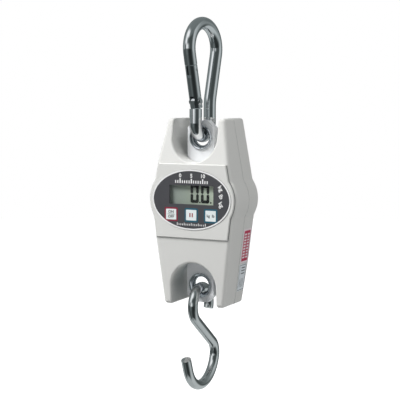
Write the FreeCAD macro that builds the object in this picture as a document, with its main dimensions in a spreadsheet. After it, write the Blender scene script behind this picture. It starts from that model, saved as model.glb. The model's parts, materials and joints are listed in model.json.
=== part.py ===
# Hanging scale: a snap hook carries a load plate inside a two-shell case, and an S-hook takes the load.
# Row frame, in millimetres: X to the right, Y to the back, Z up, origin inside the top of the snap hook.
# The case is drawn about the centre of its upper eye, the gate about its hinge pin, and then placed.
import FreeCAD, Part
import math
import os
import re
import Sketcher

V = FreeCAD.Vector
ACROSS = V(1, 0, 0)
BACKWARD = V(0, 1, 0)

SIZES = {
    # snap hook, bent from one round wire
    "hook_length": 80.0,
    "hook_wire": 8.0,
    "hook_width": 40.0,
    "hook_neck": 8.3,
    "hook_bend": 26.2,
    "hook_bend_round": 30.0,
    "hook_turn": 6.4,
    "hook_shoulder": 4.7,
    # gate of the snap hook, with its rivet, nose pin and spring
    "gate_wire": 7.8,
    "gate_reach": 24.0,
    "gate_gap": 0.5,
    "gate_end_round": 4.3,
    "gate_flat": 3.3,
    "fork_gap": 0.2,
    "tongue_thick": 2.8,
    "tongue_round": 3.6,
    "tongue_root": 2.0,
    "rivet": 1.5,
    "rivet_head": 2.4,
    "rivet_head_thick": 1.0,
    "rivet_head_edge": 0.3,
    "rivet_crown": 1.5,
    "gate_flat_reach": 3.4,
    "nose_tongue": 2.2,
    "nose_depth": 6.5,
    "nose_pin": 1.0,
    "nose_pin_drop": 3.4,
    "nose_play": 0.15,
    "nose_half_width": 2.8,
    "nose_root": 1.0,
    "nose_room": 1.5,
    "nose_pin_inset": 0.25,
    "gate_bore": 1.5,
    "gate_bore_stop": 12.0,
    "plunger_length": 3.6,
    "spring_wire": 0.6,
    "spring_coils": 8.0,
    "spring_groove": 0.3,
    # eyes and their bushes
    "eye_pitch": 95.9,
    "eye_bore": 5.15,
    "eye_round": 4.0,
    "eye_flare": 7.4,
    "eye_lip": 7.9,
    "eye_barrel": 7.1,
    "eye_split": 0.8,
    "hang_gap": 0.3,
    "running_gap": 0.05,
    # S-hook
    "shook_wire": 6.5,
    "shook_loop": 11.7,
    "shook_loop_end": -4.0,
    "shook_shift": 1.7,
    "shook_slope": 37.0,
    "shook_shoulder": 10.4,
    "shook_bowl": 20.3,
    "shook_bowl_back": 0.84,
    "shook_inset": 6.39,
    "shook_tip_lean": 21.0,
    "shook_tip_rise": 0.5,
    # load plate
    "plate_thick": 5.5,
    "plate_neck": 19.0,
    "plate_end": 11.0,
    "plate_corner": 4.6,
    "plate_width": 36.0,
    "plate_shoulder": 18.6,
    "plate_slot": 2.4,
    "plate_slot_web": 6.0,
    "plate_slot_pitch": 27.0,
    "plate_window": 18.0,
    "plate_window_round": 4.0,
    "gauge_length": 5.0,
    "gauge_width": 4.5,
    "gauge_thick": 0.3,
    # case
    "case_top": 12.4,
    "case_foot": 12.1,
    "case_half_top": 20.2,
    "case_half_foot": 21.5,
    "case_half_upper": 27.5,
    "bulge_step": 1.2,
    "bulge_top": 27.0,
    "bulge_foot": 50.0,
    "bulge_round": 21.0,
    "bulge_blend": 5.0,
    "crease_round": 8.0,
    "case_edge": 2.6,
    "notch_edge": 1.2,
    "part_line": 3.6,
    "part_groove": 0.35,
    "front_top": 9.8,
    "front_middle": 15.2,
    "front_foot": 12.7,
    "pad_top": 16.4,
    "pad_foot": 64.0,
    "pad_face": 16.2,
    "pad_inset": 1.6,
    "pad_edge": 0.5,
    "back_face": 19.2,
    "back_bend": 78.0,
    "back_foot": 16.2,
    "back_edge": 2.2,
    "wall": 2.0,
    "notch": 15.75,
    "notch_low": 16.0,
    "notch_web": 0.8,
    "plate_slot_gap": 0.4,
    "arm_depth": 4.0,
    "foot_depth": 3.9,
    "upper_hollow": 10.6,
    "lower_hollow": 11.4,
    "back_lower_hollow": 14.2,
    # front label, display and keys
    "label_centre": 39.2,
    "label_reach": 0.3,
    "label_half_height": 19.3,
    "label_recess": 0.6,
    "label_thick": 0.8,
    "fit_gap": 0.1,
    "window_centre_x": 0.1,
    "window_centre": 36.0,
    "window_width": 31.2,
    "window_height": 12.0,
    "lens_border": 1.0,
    "lens_thick": 1.2,
    "glass_width": 36.0,
    "glass_height": 15.6,
    "glass_thick": 2.1,
    "glass_centre": 35.6,
    "holder_wall": 0.8,
    "strip_width": 1.6,
    "strip_length": 30.0,
    "strip_inset": 0.3,
    "key_row": 48.85,
    "key_left_inset": 2.632,
    "key_middle": 0.2,
    "key_right_inset": 2.932,
    "key_width": 7.3,
    "key_height": 6.8,
    "key_gap": 0.12,
    "key_round": 0.5,
    "key_proud": 0.2,
    "key_flange": 0.8,
    "key_flange_thick": 1.0,
    # circuit board
    "board_side_gap": 0.9,
    "board_height": 40.0,
    "board_top": 21.0,
    "board_front": 9.5,
    "board_thick": 1.6,
    "board_screw_side": 2.9,
    "board_screw_inset": 3.6,
    "board_boss": 2.3,
    "small_screw": 1.0,
    "small_screw_head": 1.9,
    "small_screw_head_thick": 1.2,
    "board_screw_length": 5.0,
    "switch_width": 6.0,
    "switch_height": 2.9,
    "switch_plunger": 1.6,
    "switch_plunger_rise": 0.25,
    "lead_wire": 1.0,
    "lead_bend": 1.3,
    "lead_inset": 1.4,
    # batteries, their bay and door
    "battery_radius": 5.2,
    "battery_length": 43.5,
    "battery_nub": 1.0,
    "battery_nub_radius": 1.9,
    "battery_pitch": 11.0,
    "bay_height": 50.0,
    "bay_top": 24.6,
    "bay_side_gap": 0.7,
    "bay_wall": 1.4,
    "bay_floor": 5.8,
    "contact_thick": 0.4,
    "contact_width": 7.0,
    "door_thick": 1.8,
    "door_ledge": 1.6,
    "door_gap": 0.3,
    "door_pivot": 0.6,
    "door_pivot_length": 1.0,
    "door_scoop": 5.0,
    "grip_start": 3.0,
    "grip_pitch": 1.8,
    "grip_width": 15.0,
    "grip_depth": 0.4,
    # parts on the back of the board, placed from its middle
    "processor_x": -8.0,
    "processor_z": 6.0,
    "processor_length": 9.0,
    "processor_height": 9.0,
    "processor_rise": 1.4,
    "converter_x": 8.0,
    "converter_z": 2.0,
    "converter_length": 6.0,
    "converter_height": 5.0,
    "converter_rise": 1.4,
    "amplifier_x": 9.0,
    "amplifier_z": -9.0,
    "amplifier_length": 5.0,
    "amplifier_height": 4.0,
    "amplifier_rise": 1.4,
    "socket_x": -12.0,
    "socket_z": -10.0,
    "socket_length": 8.0,
    "socket_height": 4.0,
    "socket_rise": 2.8,
    "crystal_x": 3.0,
    "crystal_z": 12.0,
    "crystal_length": 7.0,
    "crystal_height": 2.4,
    "crystal_rise": 2.2,
    "capacitor_x": 14.5,
    "capacitor_z": 9.0,
    "capacitor_pitch": 3.2,
    "capacitor_radius": 1.3,
    "capacitor_rise": 3.0,
    # screws
    "case_screw_top": 12.0,
    "case_screw_top_side": 6.4,
    "case_screw_foot": 82.0,
    "case_screw_foot_side": 5.8,
    "case_screw": 1.45,
    "case_screw_head": 2.75,
    "case_screw_head_thick": 2.0,
    "case_screw_length": 15.0,
    "case_screw_seat": 9.0,
    "screw_gap": 0.05,
    "screw_room": 1.0,
    "head_gap": 0.35,
    "case_boss": 4.1,
    "front_boss": 3.0,
    "plate_screw_x": 12.0,
    "plate_screw_z": 21.6,
    "plate_screw_length": 13.0,
    "post": 2.8,
    "recess_width": 0.7,
    "recess_length": 3.0,
    "recess_depth": 1.0,
}

GRIP_GROOVES = 5
CHIPS = ("processor", "converter", "amplifier", "socket", "crystal")

doc = FreeCAD.newDocument("hanging_scale")
sheet = doc.addObject("Spreadsheet::Sheet", "Sizes")
for row, (alias, size) in enumerate(SIZES.items(), start=1):
    sheet.set(f"A{row}", alias.replace("_", " "))
    sheet.set(f"B{row}", str(size))
    sheet.setAlias(f"B{row}", alias)
doc.recompute()

WORDS = re.compile(r"\b(" + "|".join(sorted(SIZES, key=len, reverse=True)) + r")\b")
nodes = []


def text(expression):
    """Expression with each size's name pointed at its cell."""
    return WORDS.sub(r"Sizes.\1", str(expression))


def number(expression):
    """Value of an expression of the sizes."""
    value = sheet.evalExpression(text(expression))
    return float(getattr(value, "Value", value))


def bind(thing, name, expression):
    """Tie a property to the sizes."""
    thing.setExpression(name, text(expression))


def new_body(name):
    """An empty body that becomes the node of this name."""
    body = doc.addObject("PartDesign::Body", name)
    nodes.append(body)
    return body


def place(thing, x="0", y="0", z="0"):
    """Move a node; each coordinate stays tied to the sizes."""
    bind(thing, "Placement.Base.x", x)
    bind(thing, "Placement.Base.y", y)
    bind(thing, "Placement.Base.z", z)


def sketch_on(body, plane, level="0", at=("0", "0"), turn=None):
    """A sketch on one of the body's own planes, at a level along +X, +Y or +Z."""
    sketch = body.newObject("Sketcher::SketchObject", "Sketch")
    role = {feature.Role: feature for feature in body.Origin.OriginFeatures}
    sketch.AttachmentSupport = [(role[plane + "_Plane"], "")]
    sketch.MapMode = "FlatFace"
    if turn is not None:
        sketch.AttachmentOffset = FreeCAD.Placement(V(0, 0, 0), FreeCAD.Rotation(V(0, 0, 1), number(turn)))
        bind(sketch, "AttachmentOffset.Rotation.Angle", turn)
    bind(sketch, "AttachmentOffset.Base.x", at[0])
    bind(sketch, "AttachmentOffset.Base.y", at[1])
    # the XZ plane's own normal points to -Y
    bind(sketch, "AttachmentOffset.Base.z", f"-({level})" if plane == "XZ" else level)
    return sketch


def fix(sketch, kind, first, expression):
    """Add a dimension measured from the sketch's origin, or on one edge, and tie it to the sizes."""
    value = number(expression)
    if kind in ("DistanceX", "DistanceY"):
        index = sketch.addConstraint(Sketcher.Constraint(kind, -1, 1, first[0], first[1], value))
    else:
        index = sketch.addConstraint(Sketcher.Constraint(kind, first[0], value))
    bind(sketch, f"Constraints[{index}]", expression)


def circle(sketch, x, y, radius):
    """A circle with its centre and radius tied to the sizes."""
    centre = V(number(x), number(y), 0)
    edge = sketch.addGeometry(Part.Circle(centre, V(0, 0, 1), number(radius)), False)
    fix(sketch, "DistanceX", (edge, 3), x)
    fix(sketch, "DistanceY", (edge, 3), y)
    fix(sketch, "Radius", (edge,), radius)


def ellipse(sketch, x, y, half_width, half_height):
    """An upright ellipse with its centre and half axes tied to the sizes."""
    centre = V(number(x), number(y), 0)
    across = centre + V(number(half_width), 0, 0)
    up = centre + V(0, number(half_height), 0)
    edge = sketch.addGeometry(Part.Ellipse(across, up, centre), False)
    sketch.exposeInternalGeometry(edge)
    fix(sketch, "DistanceX", (edge, 3), x)
    fix(sketch, "DistanceY", (edge, 3), y)
    sketch.addConstraint(Sketcher.Constraint("Horizontal", edge + 1))
    fix(sketch, "Distance", (edge + 1,), f"2 * ({half_width})")
    fix(sketch, "Distance", (edge + 2,), f"2 * ({half_height})")


def arc_between(start, end, radius, left):
    """Centre of the lesser arc from start to end that has its centre to the left or right."""
    middle = (start + end) / 2
    chord = end - start
    rise = math.sqrt(max(radius ** 2 - (chord.Length / 2) ** 2, 0))
    normal = V(-chord.y, chord.x, 0) / chord.Length
    return middle + normal * (rise if left else -rise)


def arc_edge(sketch, start, end, centre, left):
    """Add an arc that runs from start to end; returns its edge and the ends' places."""
    radius = (start - centre).Length
    first, last = (start, end) if left else (end, start)
    low = math.atan2(first.y - centre.y, first.x - centre.x)
    high = math.atan2(last.y - centre.y, last.x - centre.x)
    if high <= low:
        high += 2 * math.pi
    edge = arc(sketch, centre, radius, low, high)
    return (edge, 1, 2) if left else (edge, 2, 1)


def outline(sketch, points):
    """A closed outline. A point is (x, y), and may add how the edge after it bends:
    ("left" or "right", radius) for an arc between two fixed points, or
    ("left" or "right", radius, centre x, centre y) for an arc about a fixed centre."""
    spots = [V(number(point[0]), number(point[1]), 0) for point in points]
    edges = []
    for index, point in enumerate(points):
        start = spots[index]
        end = spots[(index + 1) % len(points)]
        if len(point) == 2:
            edges.append((line(sketch, start, end), 1, 2))
            continue
        bend = point[2]
        left = bend[0] == "left"
        if len(bend) == 2:
            centre = arc_between(start, end, number(bend[1]), left)
        else:
            centre = V(number(bend[2]), number(bend[3]), 0)
        edges.append(arc_edge(sketch, start, end, centre, left))
    for index, point in enumerate(points):
        before = edges[index - 1]
        here = edges[index]
        sketch.addConstraint(Sketcher.Constraint("Coincident", before[0], before[2], here[0], here[1]))
        centred = [p[2] for p in (points[index - 1], point) if len(p) == 3 and len(p[2]) == 4]
        # on an arc about a fixed centre, only the coordinate that places the point best is set
        beside = True
        if centred:
            arm = spots[index] - V(number(centred[0][2]), number(centred[0][3]), 0)
            beside = abs(arm.x) > abs(arm.y)
        if not centred or not beside:
            fix(sketch, "DistanceX", here[:2], point[0])
        if beside:
            fix(sketch, "DistanceY", here[:2], point[1])
        if len(point) == 3:
            fix(sketch, "Radius", here[:1], point[2][1])
        if len(point) == 3 and len(point[2]) == 4:
            fix(sketch, "DistanceX", (here[0], 3), point[2][2])
            fix(sketch, "DistanceY", (here[0], 3), point[2][3])


def line(sketch, start, end):
    """A straight run of a wire's centre line."""
    return sketch.addGeometry(Part.LineSegment(start, end), False)


def arc(sketch, centre, radius, low, high):
    """A bend of a wire's centre line, counterclockwise from the low angle to the high one."""
    return sketch.addGeometry(Part.ArcOfCircle(Part.Circle(centre, V(0, 0, 1), radius), low, high), False)


def chain(sketch, joints):
    """Join runs and bends end to end so that they are tangent."""
    for first, end, second, start in joints:
        sketch.addConstraint(Sketcher.Constraint("Tangent", first, end, second, start))


def rectangle(sketch, x, y, width, height):
    """A rectangle about its centre."""
    left, right = f"{x} - ({width}) / 2", f"{x} + ({width}) / 2"
    low, high = f"{y} - ({height}) / 2", f"{y} + ({height}) / 2"
    outline(sketch, [(left, low), (right, low), (right, high), (left, high)])


def extrude(body, kind, sketch, length, both=False, back=False):
    """Pad or pocket of a sketch: along the sketch's normal, back from it, or to both sides."""
    feature = body.newObject("PartDesign::" + kind, kind)
    feature.Profile = sketch
    if both:
        feature.SideType = "Symmetric"
    # a pocket goes against its sketch's normal unless it is reversed
    feature.Reversed = (kind == "Pocket") != back
    bind(feature, "Length", length)
    sketch.Visibility = False
    return checked(body, feature)


def checked(body, feature):
    """Rebuild, and stop if the feature failed or a cut took nothing away."""
    before = feature.BaseFeature.Shape.Volume if feature.BaseFeature else 0
    doc.recompute()
    if "Invalid" in feature.State or "Error" in feature.State or feature.Shape.isNull():
        raise RuntimeError(f"{body.Name}: {feature.Name} failed")
    if feature.isDerivedFrom("PartDesign::Pocket") and feature.Shape.Volume > before - 1e-6:
        raise RuntimeError(f"{body.Name}: {feature.Name} cuts nothing")
    return feature


def pad(body, sketch, length, both=False, back=False):
    return extrude(body, "Pad", sketch, length, both, back)


def pocket(body, sketch, length, both=False, back=False):
    return extrude(body, "Pocket", sketch, length, both, back)


def revolve(body, sketch, axis):
    """A full turn of a sketch about one of its own axes."""
    feature = body.newObject("PartDesign::Revolution", "Revolution")
    feature.Profile = sketch
    feature.ReferenceAxis = (sketch, [axis])
    feature.Angle = 360
    return checked(body, feature)


def dress(body, kind, size, chosen):
    """Fillet or chamfer the edges of the body's tip that are chosen by a test."""
    base = body.Tip
    names = [f"Edge{i}" for i, edge in enumerate(base.Shape.Edges, start=1) if chosen(edge)]
    if not names:
        raise RuntimeError(f"{body.Name}: no edges for {kind}")
    feature = body.newObject("PartDesign::" + kind, kind)
    feature.Base = (base, names)
    bind(feature, "Radius" if kind == "Fillet" else "Size", size)
    return checked(body, feature)


def along(edge, axis):
    """Whether a straight edge runs along an axis."""
    if len(edge.Vertexes) != 2:
        return False
    chord = edge.Vertexes[1].Point - edge.Vertexes[0].Point
    return chord.Length > 1e-6 and abs(chord.normalize().dot(axis)) > 0.9999


def wire_sweep(body, spine, radius, edges):
    """Round wire along an open chain of edges that starts with the first edge."""
    profile = body.newObject("Sketcher::SketchObject", "Section")
    profile.AttachmentSupport = [(spine, "Edge1")]
    profile.MapMode = "NormalToEdge"
    circle(profile, "0", "0", radius)
    pipe = body.newObject("PartDesign::AdditivePipe", "Wire")
    pipe.Profile = profile
    pipe.Spine = (spine, [f"Edge{i + 1}" for i in range(edges)])
    return checked(body, pipe)


def primitive(kind, name, **sizes):
    """A primitive solid with its sizes tied to the sheet."""
    solid = doc.addObject("Part::" + kind, name)
    for name_, expression in sizes.items():
        bind(solid, name_, expression)
    return solid


def box(name, x, y, z, length, width, height):
    """A box about its centre."""
    solid = primitive("Box", name, Length=length, Width=width, Height=height)
    place(solid, f"{x} - ({length}) / 2", f"{y} - ({width}) / 2", f"{z} - ({height}) / 2")
    return solid


def rod(name, x, y, z, radius, height, backward=False):
    """A cylinder that starts at a point and runs up, or to the back."""
    solid = primitive("Cylinder", name, Radius=radius, Height=height)
    if backward:
        solid.Placement = FreeCAD.Placement(V(0, 0, 0), FreeCAD.Rotation(V(1, 0, 0), -90))
    place(solid, x, y, z)
    return solid


def fuse(name, solids):
    joined = doc.addObject("Part::MultiFuse", name)
    joined.Shapes = solids
    return joined


def cut(name, base, tool):
    carved = doc.addObject("Part::Cut", name)
    carved.Base = base
    carved.Tool = tool
    return carved


def group(name, solids):
    """Separate solids that share one node."""
    gathered = doc.addObject("Part::Compound", name)
    gathered.Links = solids
    nodes.append(gathered)
    return gathered


# Places that several pieces share, in the row frame
HOOK_CENTRE_TOP = "(hook_width - hook_wire) / 2"
TOP_CENTRE = "(hook_wire - hook_width / 2)"
NECK_CENTRE = "(1.5 * hook_wire - hook_length + hook_neck)"
PIN_Z = "(hook_wire - hook_length + hook_bend)"
EYE_Z = "(2 * hook_wire - hook_length + hang_gap - eye_bore)"
LEAN_SPAN = f"({TOP_CENTRE} - {PIN_Z})"
LEAN = f"(asin(({HOOK_CENTRE_TOP}) / sqrt(hook_neck ^ 2 + {LEAN_SPAN} ^ 2)) - atan(hook_neck / {LEAN_SPAN}))"

# Depth of the plunger's bore in the gate
BORE_DEPTH = "(gate_reach - gate_bore_stop)"

# Depth of the bowl's centre below the loop's, on the S-hook
BOWL_ACROSS = "(shook_loop + shook_bowl - shook_inset + shook_bowl_back * sin(shook_slope))"
BOWL_DROP = f"({BOWL_ACROSS} / cos(shook_slope))"

# Places that several pieces share, in the case's frame about the upper eye
CASE_FOOT = "(eye_pitch + case_foot)"
HALF_LOWER = "(case_half_upper + bulge_step)"
LIP_Y = "sqrt(eye_round ^ 2 - (eye_bore + eye_round - eye_flare) ^ 2)"
INNER_FACE = "(pad_face - wall)"
LABEL_BACK = "(pad_face - label_recess)"
LABEL_HALF = "(case_half_upper + label_reach)"
LABEL_FRONT = f"({LABEL_BACK} + label_thick)"
GLASS_FRONT = f"({INNER_FACE} - fit_gap)"
GLASS_BACK = f"({GLASS_FRONT} - glass_thick)"
BOARD_BACK = "(board_front - board_thick)"
BOARD_FOOT = "(board_top + board_height)"
BACK_INNER = "(back_face - wall)"
BAY_WIDTH = "(2 * battery_pitch + 2 * battery_radius + 2 * bay_side_gap)"
BAY_FOOT = "(bay_top + bay_height)"
DOOR_BACK = "(back_face - fit_gap / 2)"
DOOR_FRONT = f"({DOOR_BACK} - door_thick)"
DOOR_FLOOR = f"({DOOR_FRONT} - fit_gap)"
BATTERY_Y = f"({DOOR_FLOOR} - battery_radius - fit_gap)"
PIVOT_Y = f"({DOOR_BACK} - door_thick / 2)"
PIVOT_Z = f"({BAY_FOOT} + door_ledge - door_thick / 2)"
LOW_EDGE = "((key_row + key_height / 2 - label_centre) / label_half_height)"
KEY_REACH = f"({LABEL_HALF} * sqrt(1 - {LOW_EDGE} ^ 2) - key_width / 2)"
KEYS = {"power_key": f"(key_left_inset - {KEY_REACH})", "hold_key": "key_middle",
        "unit_key": f"({KEY_REACH} - key_right_inset)"}


def half_width(depth):
    """Half the case's width at a depth below the upper eye, above or below the bulge."""
    if number(depth) <= number("bulge_top"):
        share = f"(case_top + ({depth})) / (case_top + bulge_top)"
        return f"(case_half_top + (case_half_upper - case_half_top) * {share})"
    share = f"(({depth}) - bulge_foot) / ({CASE_FOOT} - bulge_foot)"
    return f"({HALF_LOWER} + (case_half_foot - {HALF_LOWER}) * {share})"


def both_sides(x, z):
    """The same height on the left and on the right."""
    return [(f"-({x})", z), (x, z)]


SCREW_TOP_X = f"({half_width('case_screw_top')} - case_screw_top_side)"
SCREW_FOOT_X = f"({half_width('case_screw_foot')} - case_screw_foot_side)"
CASE_SCREWS = both_sides(SCREW_TOP_X, "-case_screw_top") + both_sides(SCREW_FOOT_X, "-case_screw_foot")
PLATE_SCREWS = both_sides("plate_screw_x", "-plate_screw_z")
BOARD_HALF = f"({half_width('board_top')} - wall - board_side_gap)"
BOARD_SCREW_X = f"({BOARD_HALF} - board_screw_side)"
BOARD_SCREWS = both_sides(BOARD_SCREW_X, "-(board_top + board_screw_inset)")
BOARD_SCREWS += both_sides(BOARD_SCREW_X, f"-({BOARD_FOOT} - board_screw_inset)")


def flank(inset, top, foot):
    """Right-hand outline of the case from top to foot, moved in by an inset."""
    return [
        (f"{half_width(top)} - ({inset})", f"-({top})"),
        (f"case_half_upper - ({inset})", "-bulge_top", ("right", "bulge_round")),
        (f"{HALF_LOWER} - ({inset})", "-bulge_foot"),
        (f"{half_width(foot)} - ({inset})", f"-({foot})"),
    ]


def mirrored(points):
    """The left-hand outline, from foot to top, that mirrors the right-hand one."""
    flipped = [(f"-({points[i][0]})", points[i][1]) for i in range(len(points))]
    for i, point in enumerate(points):
        if len(point) == 3:
            flipped[i + 1] += (point[2],)
    return flipped[::-1]


def hollow(top, foot):
    """Outline of the case's hollow: a wall inside the flanks and round each notch it reaches."""
    right = flank("wall", top, foot)
    ring = f"sqrt((notch + wall) ^ 2 - ({top}) ^ 2)"
    ring_low = f"sqrt((notch_low + wall) ^ 2 - (eye_pitch - ({foot})) ^ 2)"
    low, high = [], []
    if number("eye_pitch") - number(foot) < number("notch_low"):
        bend = ("left", "notch_low + wall", "0", "-eye_pitch")
        low = [(ring_low, f"-({foot})", bend), (f"-({ring_low})", f"-({foot})")]
    if number(top) < number("notch"):
        bend = ("left", "notch + wall", "0", "0")
        high = [(f"-({ring})", f"-({top})", bend), (ring, f"-({top})")]
    return right + low + mirrored(right) + high


def cut_notches(body, depth):
    """The two U-shaped notches, open from front to back, round the eyes."""
    sketch = sketch_on(body, "XZ")
    beyond = "case_top + notch"
    bend = ("left", "notch", "0", "0")
    outline(sketch, [("-notch", beyond), ("-notch", "0", bend), ("notch", "0"), ("notch", beyond)])
    pocket(body, sketch, depth, both=True)
    sketch = sketch_on(body, "XZ")
    beyond = f"-({CASE_FOOT} + notch_low)"
    bend = ("left", "notch_low", "0", "-eye_pitch")
    outline(sketch, [("notch_low", beyond), ("notch_low", "-eye_pitch", bend),
                     ("-notch_low", "-eye_pitch"), ("-notch_low", beyond)])
    pocket(body, sketch, depth, both=True)


def round_case(body, side, size):
    """Round a shell's outer corners and its front (side -1) or back (side 1) edges."""
    kinks = [
        (number("case_half_upper"), -number("bulge_top")),
        (number(HALF_LOWER), -number("bulge_foot")),
    ]

    def in_kink(edge):
        point = edge.Vertexes[0].Point
        near = any(abs(abs(point.x) - x) < 0.01 and abs(point.z - z) < 0.01 for x, z in kinks)
        return near and along(edge, BACKWARD)

    def on_edge(edge):
        return along(edge, BACKWARD) and not in_kink(edge) and on_end(edge) or on_rim(edge, side)

    dress(body, "Fillet", "bulge_blend", in_kink)
    dress(body, "Fillet", size, on_edge)
    seam = number("part_line")

    def on_seam(edge):
        return all(abs(v.Point.y - seam) < 0.01 for v in edge.Vertexes)

    dress(body, "Chamfer", "part_groove", on_seam)


def on_end(edge):
    """Whether an edge lies on the top or the foot of the case."""
    height = edge.CenterOfMass.z
    return abs(height - number("case_top")) < 0.01 or abs(height + number(CASE_FOOT)) < 0.01


def on_rim(edge, side):
    """Whether an edge lies on the outline of the shell's front (side -1) or back (side 1)."""
    points = [vertex.Point for vertex in edge.Vertexes] + [edge.CenterOfMass]
    if min(side * point.y for point in points) < number("front_top") - 0.5:
        return False
    return on_end(edge) or abs(edge.CenterOfMass.x) > number("notch")


def on_notch(edge, side):
    """Whether an edge lies between a notch and the shell's front (side -1) or back (side 1)."""
    points = [vertex.Point for vertex in edge.Vertexes] + [edge.CenterOfMass]
    if min(side * point.y for point in points) < number("front_top") - 3:
        return False
    if along(edge, BACKWARD):
        return False
    span = number("notch_low") + 0.05
    return all(abs(point.x) < span for point in points) and edge.Length > 5


def build_snap_hook():
    """One bent wire with a hinge tongue and a nose tongue, drawn in its own plane."""
    body = new_body("snap_hook_body")
    wire, top, neck = "hook_wire / 2", HOOK_CENTRE_TOP, "hook_neck"
    lean = math.radians(number(LEAN))
    pin_z, reach = number(PIN_Z), number("gate_reach")
    top_z, neck_z, big = number(TOP_CENTRE), number(NECK_CENTRE), number("hook_bend_round")
    r_top, r_neck = number(top), number(neck)
    sketch = sketch_on(body, "YZ")
    nose = V(-r_neck - reach * math.sin(lean), pin_z + reach * math.cos(lean), 0)
    front_tangent = V(-r_top * math.cos(lean), top_z - r_top * math.sin(lean), 0)
    back_tangent = V(-front_tangent.x, front_tangent.y, 0)
    short = big * math.tan(lean / 2)
    bend_top = V(r_neck + short * math.sin(lean), pin_z + short * math.cos(lean), 0)
    bend_foot = V(r_neck, pin_z - short, 0)
    shoulder = V(-r_neck, pin_z - number("hook_shoulder"), 0)
    half_turn = math.pi
    line(sketch, nose, front_tangent)
    arc(sketch, V(0, top_z, 0), r_top, -lean, half_turn + lean)
    line(sketch, back_tangent, bend_top)
    arc(sketch, V(r_neck + big, pin_z - short, 0), big, half_turn - lean, half_turn)
    line(sketch, bend_foot, V(r_neck, neck_z, 0))
    arc(sketch, V(0, neck_z, 0), r_neck, half_turn, 2 * half_turn)
    line(sketch, V(-r_neck, neck_z, 0), shoulder)
    chain(sketch, [(0, 2, 1, 2), (1, 1, 2, 1), (2, 2, 3, 1), (3, 2, 4, 1), (4, 2, 5, 2), (5, 1, 6, 1)])
    fix(sketch, "DistanceX", (0, 1), f"-hook_neck - gate_reach * sin({LEAN})")
    fix(sketch, "DistanceY", (0, 1), f"{PIN_Z} + gate_reach * cos({LEAN})")
    fix(sketch, "DistanceX", (1, 3), "0")
    fix(sketch, "DistanceY", (1, 3), TOP_CENTRE)
    fix(sketch, "Radius", (1,), top)
    fix(sketch, "DistanceY", (2, 1), f"{TOP_CENTRE} - {top} * sin({LEAN})")
    fix(sketch, "Radius", (3,), "hook_bend_round")
    fix(sketch, "DistanceX", (5, 3), "0")
    fix(sketch, "DistanceY", (5, 3), NECK_CENTRE)
    fix(sketch, "Radius", (5,), neck)
    sketch.addConstraint(Sketcher.Constraint("Vertical", 4))
    sketch.addConstraint(Sketcher.Constraint("Vertical", 6))
    fix(sketch, "DistanceY", (6, 2), f"{PIN_Z} - hook_shoulder")
    wire_sweep(body, sketch, wire, 7)

    sketch = sketch_on(body, "YZ", at=("-hook_neck", PIN_Z))
    foot = "-hook_shoulder - tongue_root"
    bend = ("left", "tongue_round", "0", "0")
    outline(sketch, [("-tongue_round", foot), ("tongue_round", foot),
                     ("tongue_round", "0", bend), ("-tongue_round", "0")])
    pad(body, sketch, "tongue_thick", both=True)
    sketch = sketch_on(body, "YZ", at=("-hook_neck", PIN_Z))
    circle(sketch, "0", "0", "rivet + running_gap")
    pocket(body, sketch, "hook_wire", both=True)

    sketch = sketch_on(body, "YZ", at=("-hook_neck", PIN_Z), turn=LEAN)
    tip, root = "gate_reach - nose_depth", "gate_reach + nose_root"
    rectangle(sketch, "0", f"({tip} + {root}) / 2", "2 * nose_half_width", f"{root} - ({tip})")
    pad(body, sketch, "nose_tongue", both=True)
    sketch = sketch_on(body, "YZ", at=("-hook_neck", PIN_Z), turn=LEAN)
    catch, mouth = "gate_reach - nose_pin_drop", "(nose_pin + nose_play)"
    bend = ("right", mouth, "0", catch)
    outline(sketch, [("hook_wire", f"{catch} - {mouth}"), ("0", f"{catch} - {mouth}", bend),
                     ("0", f"{catch} + {mouth}"), ("hook_wire", f"{catch} + {mouth}")])
    pocket(body, sketch, "2 * nose_tongue", both=True)
    return body


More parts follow.
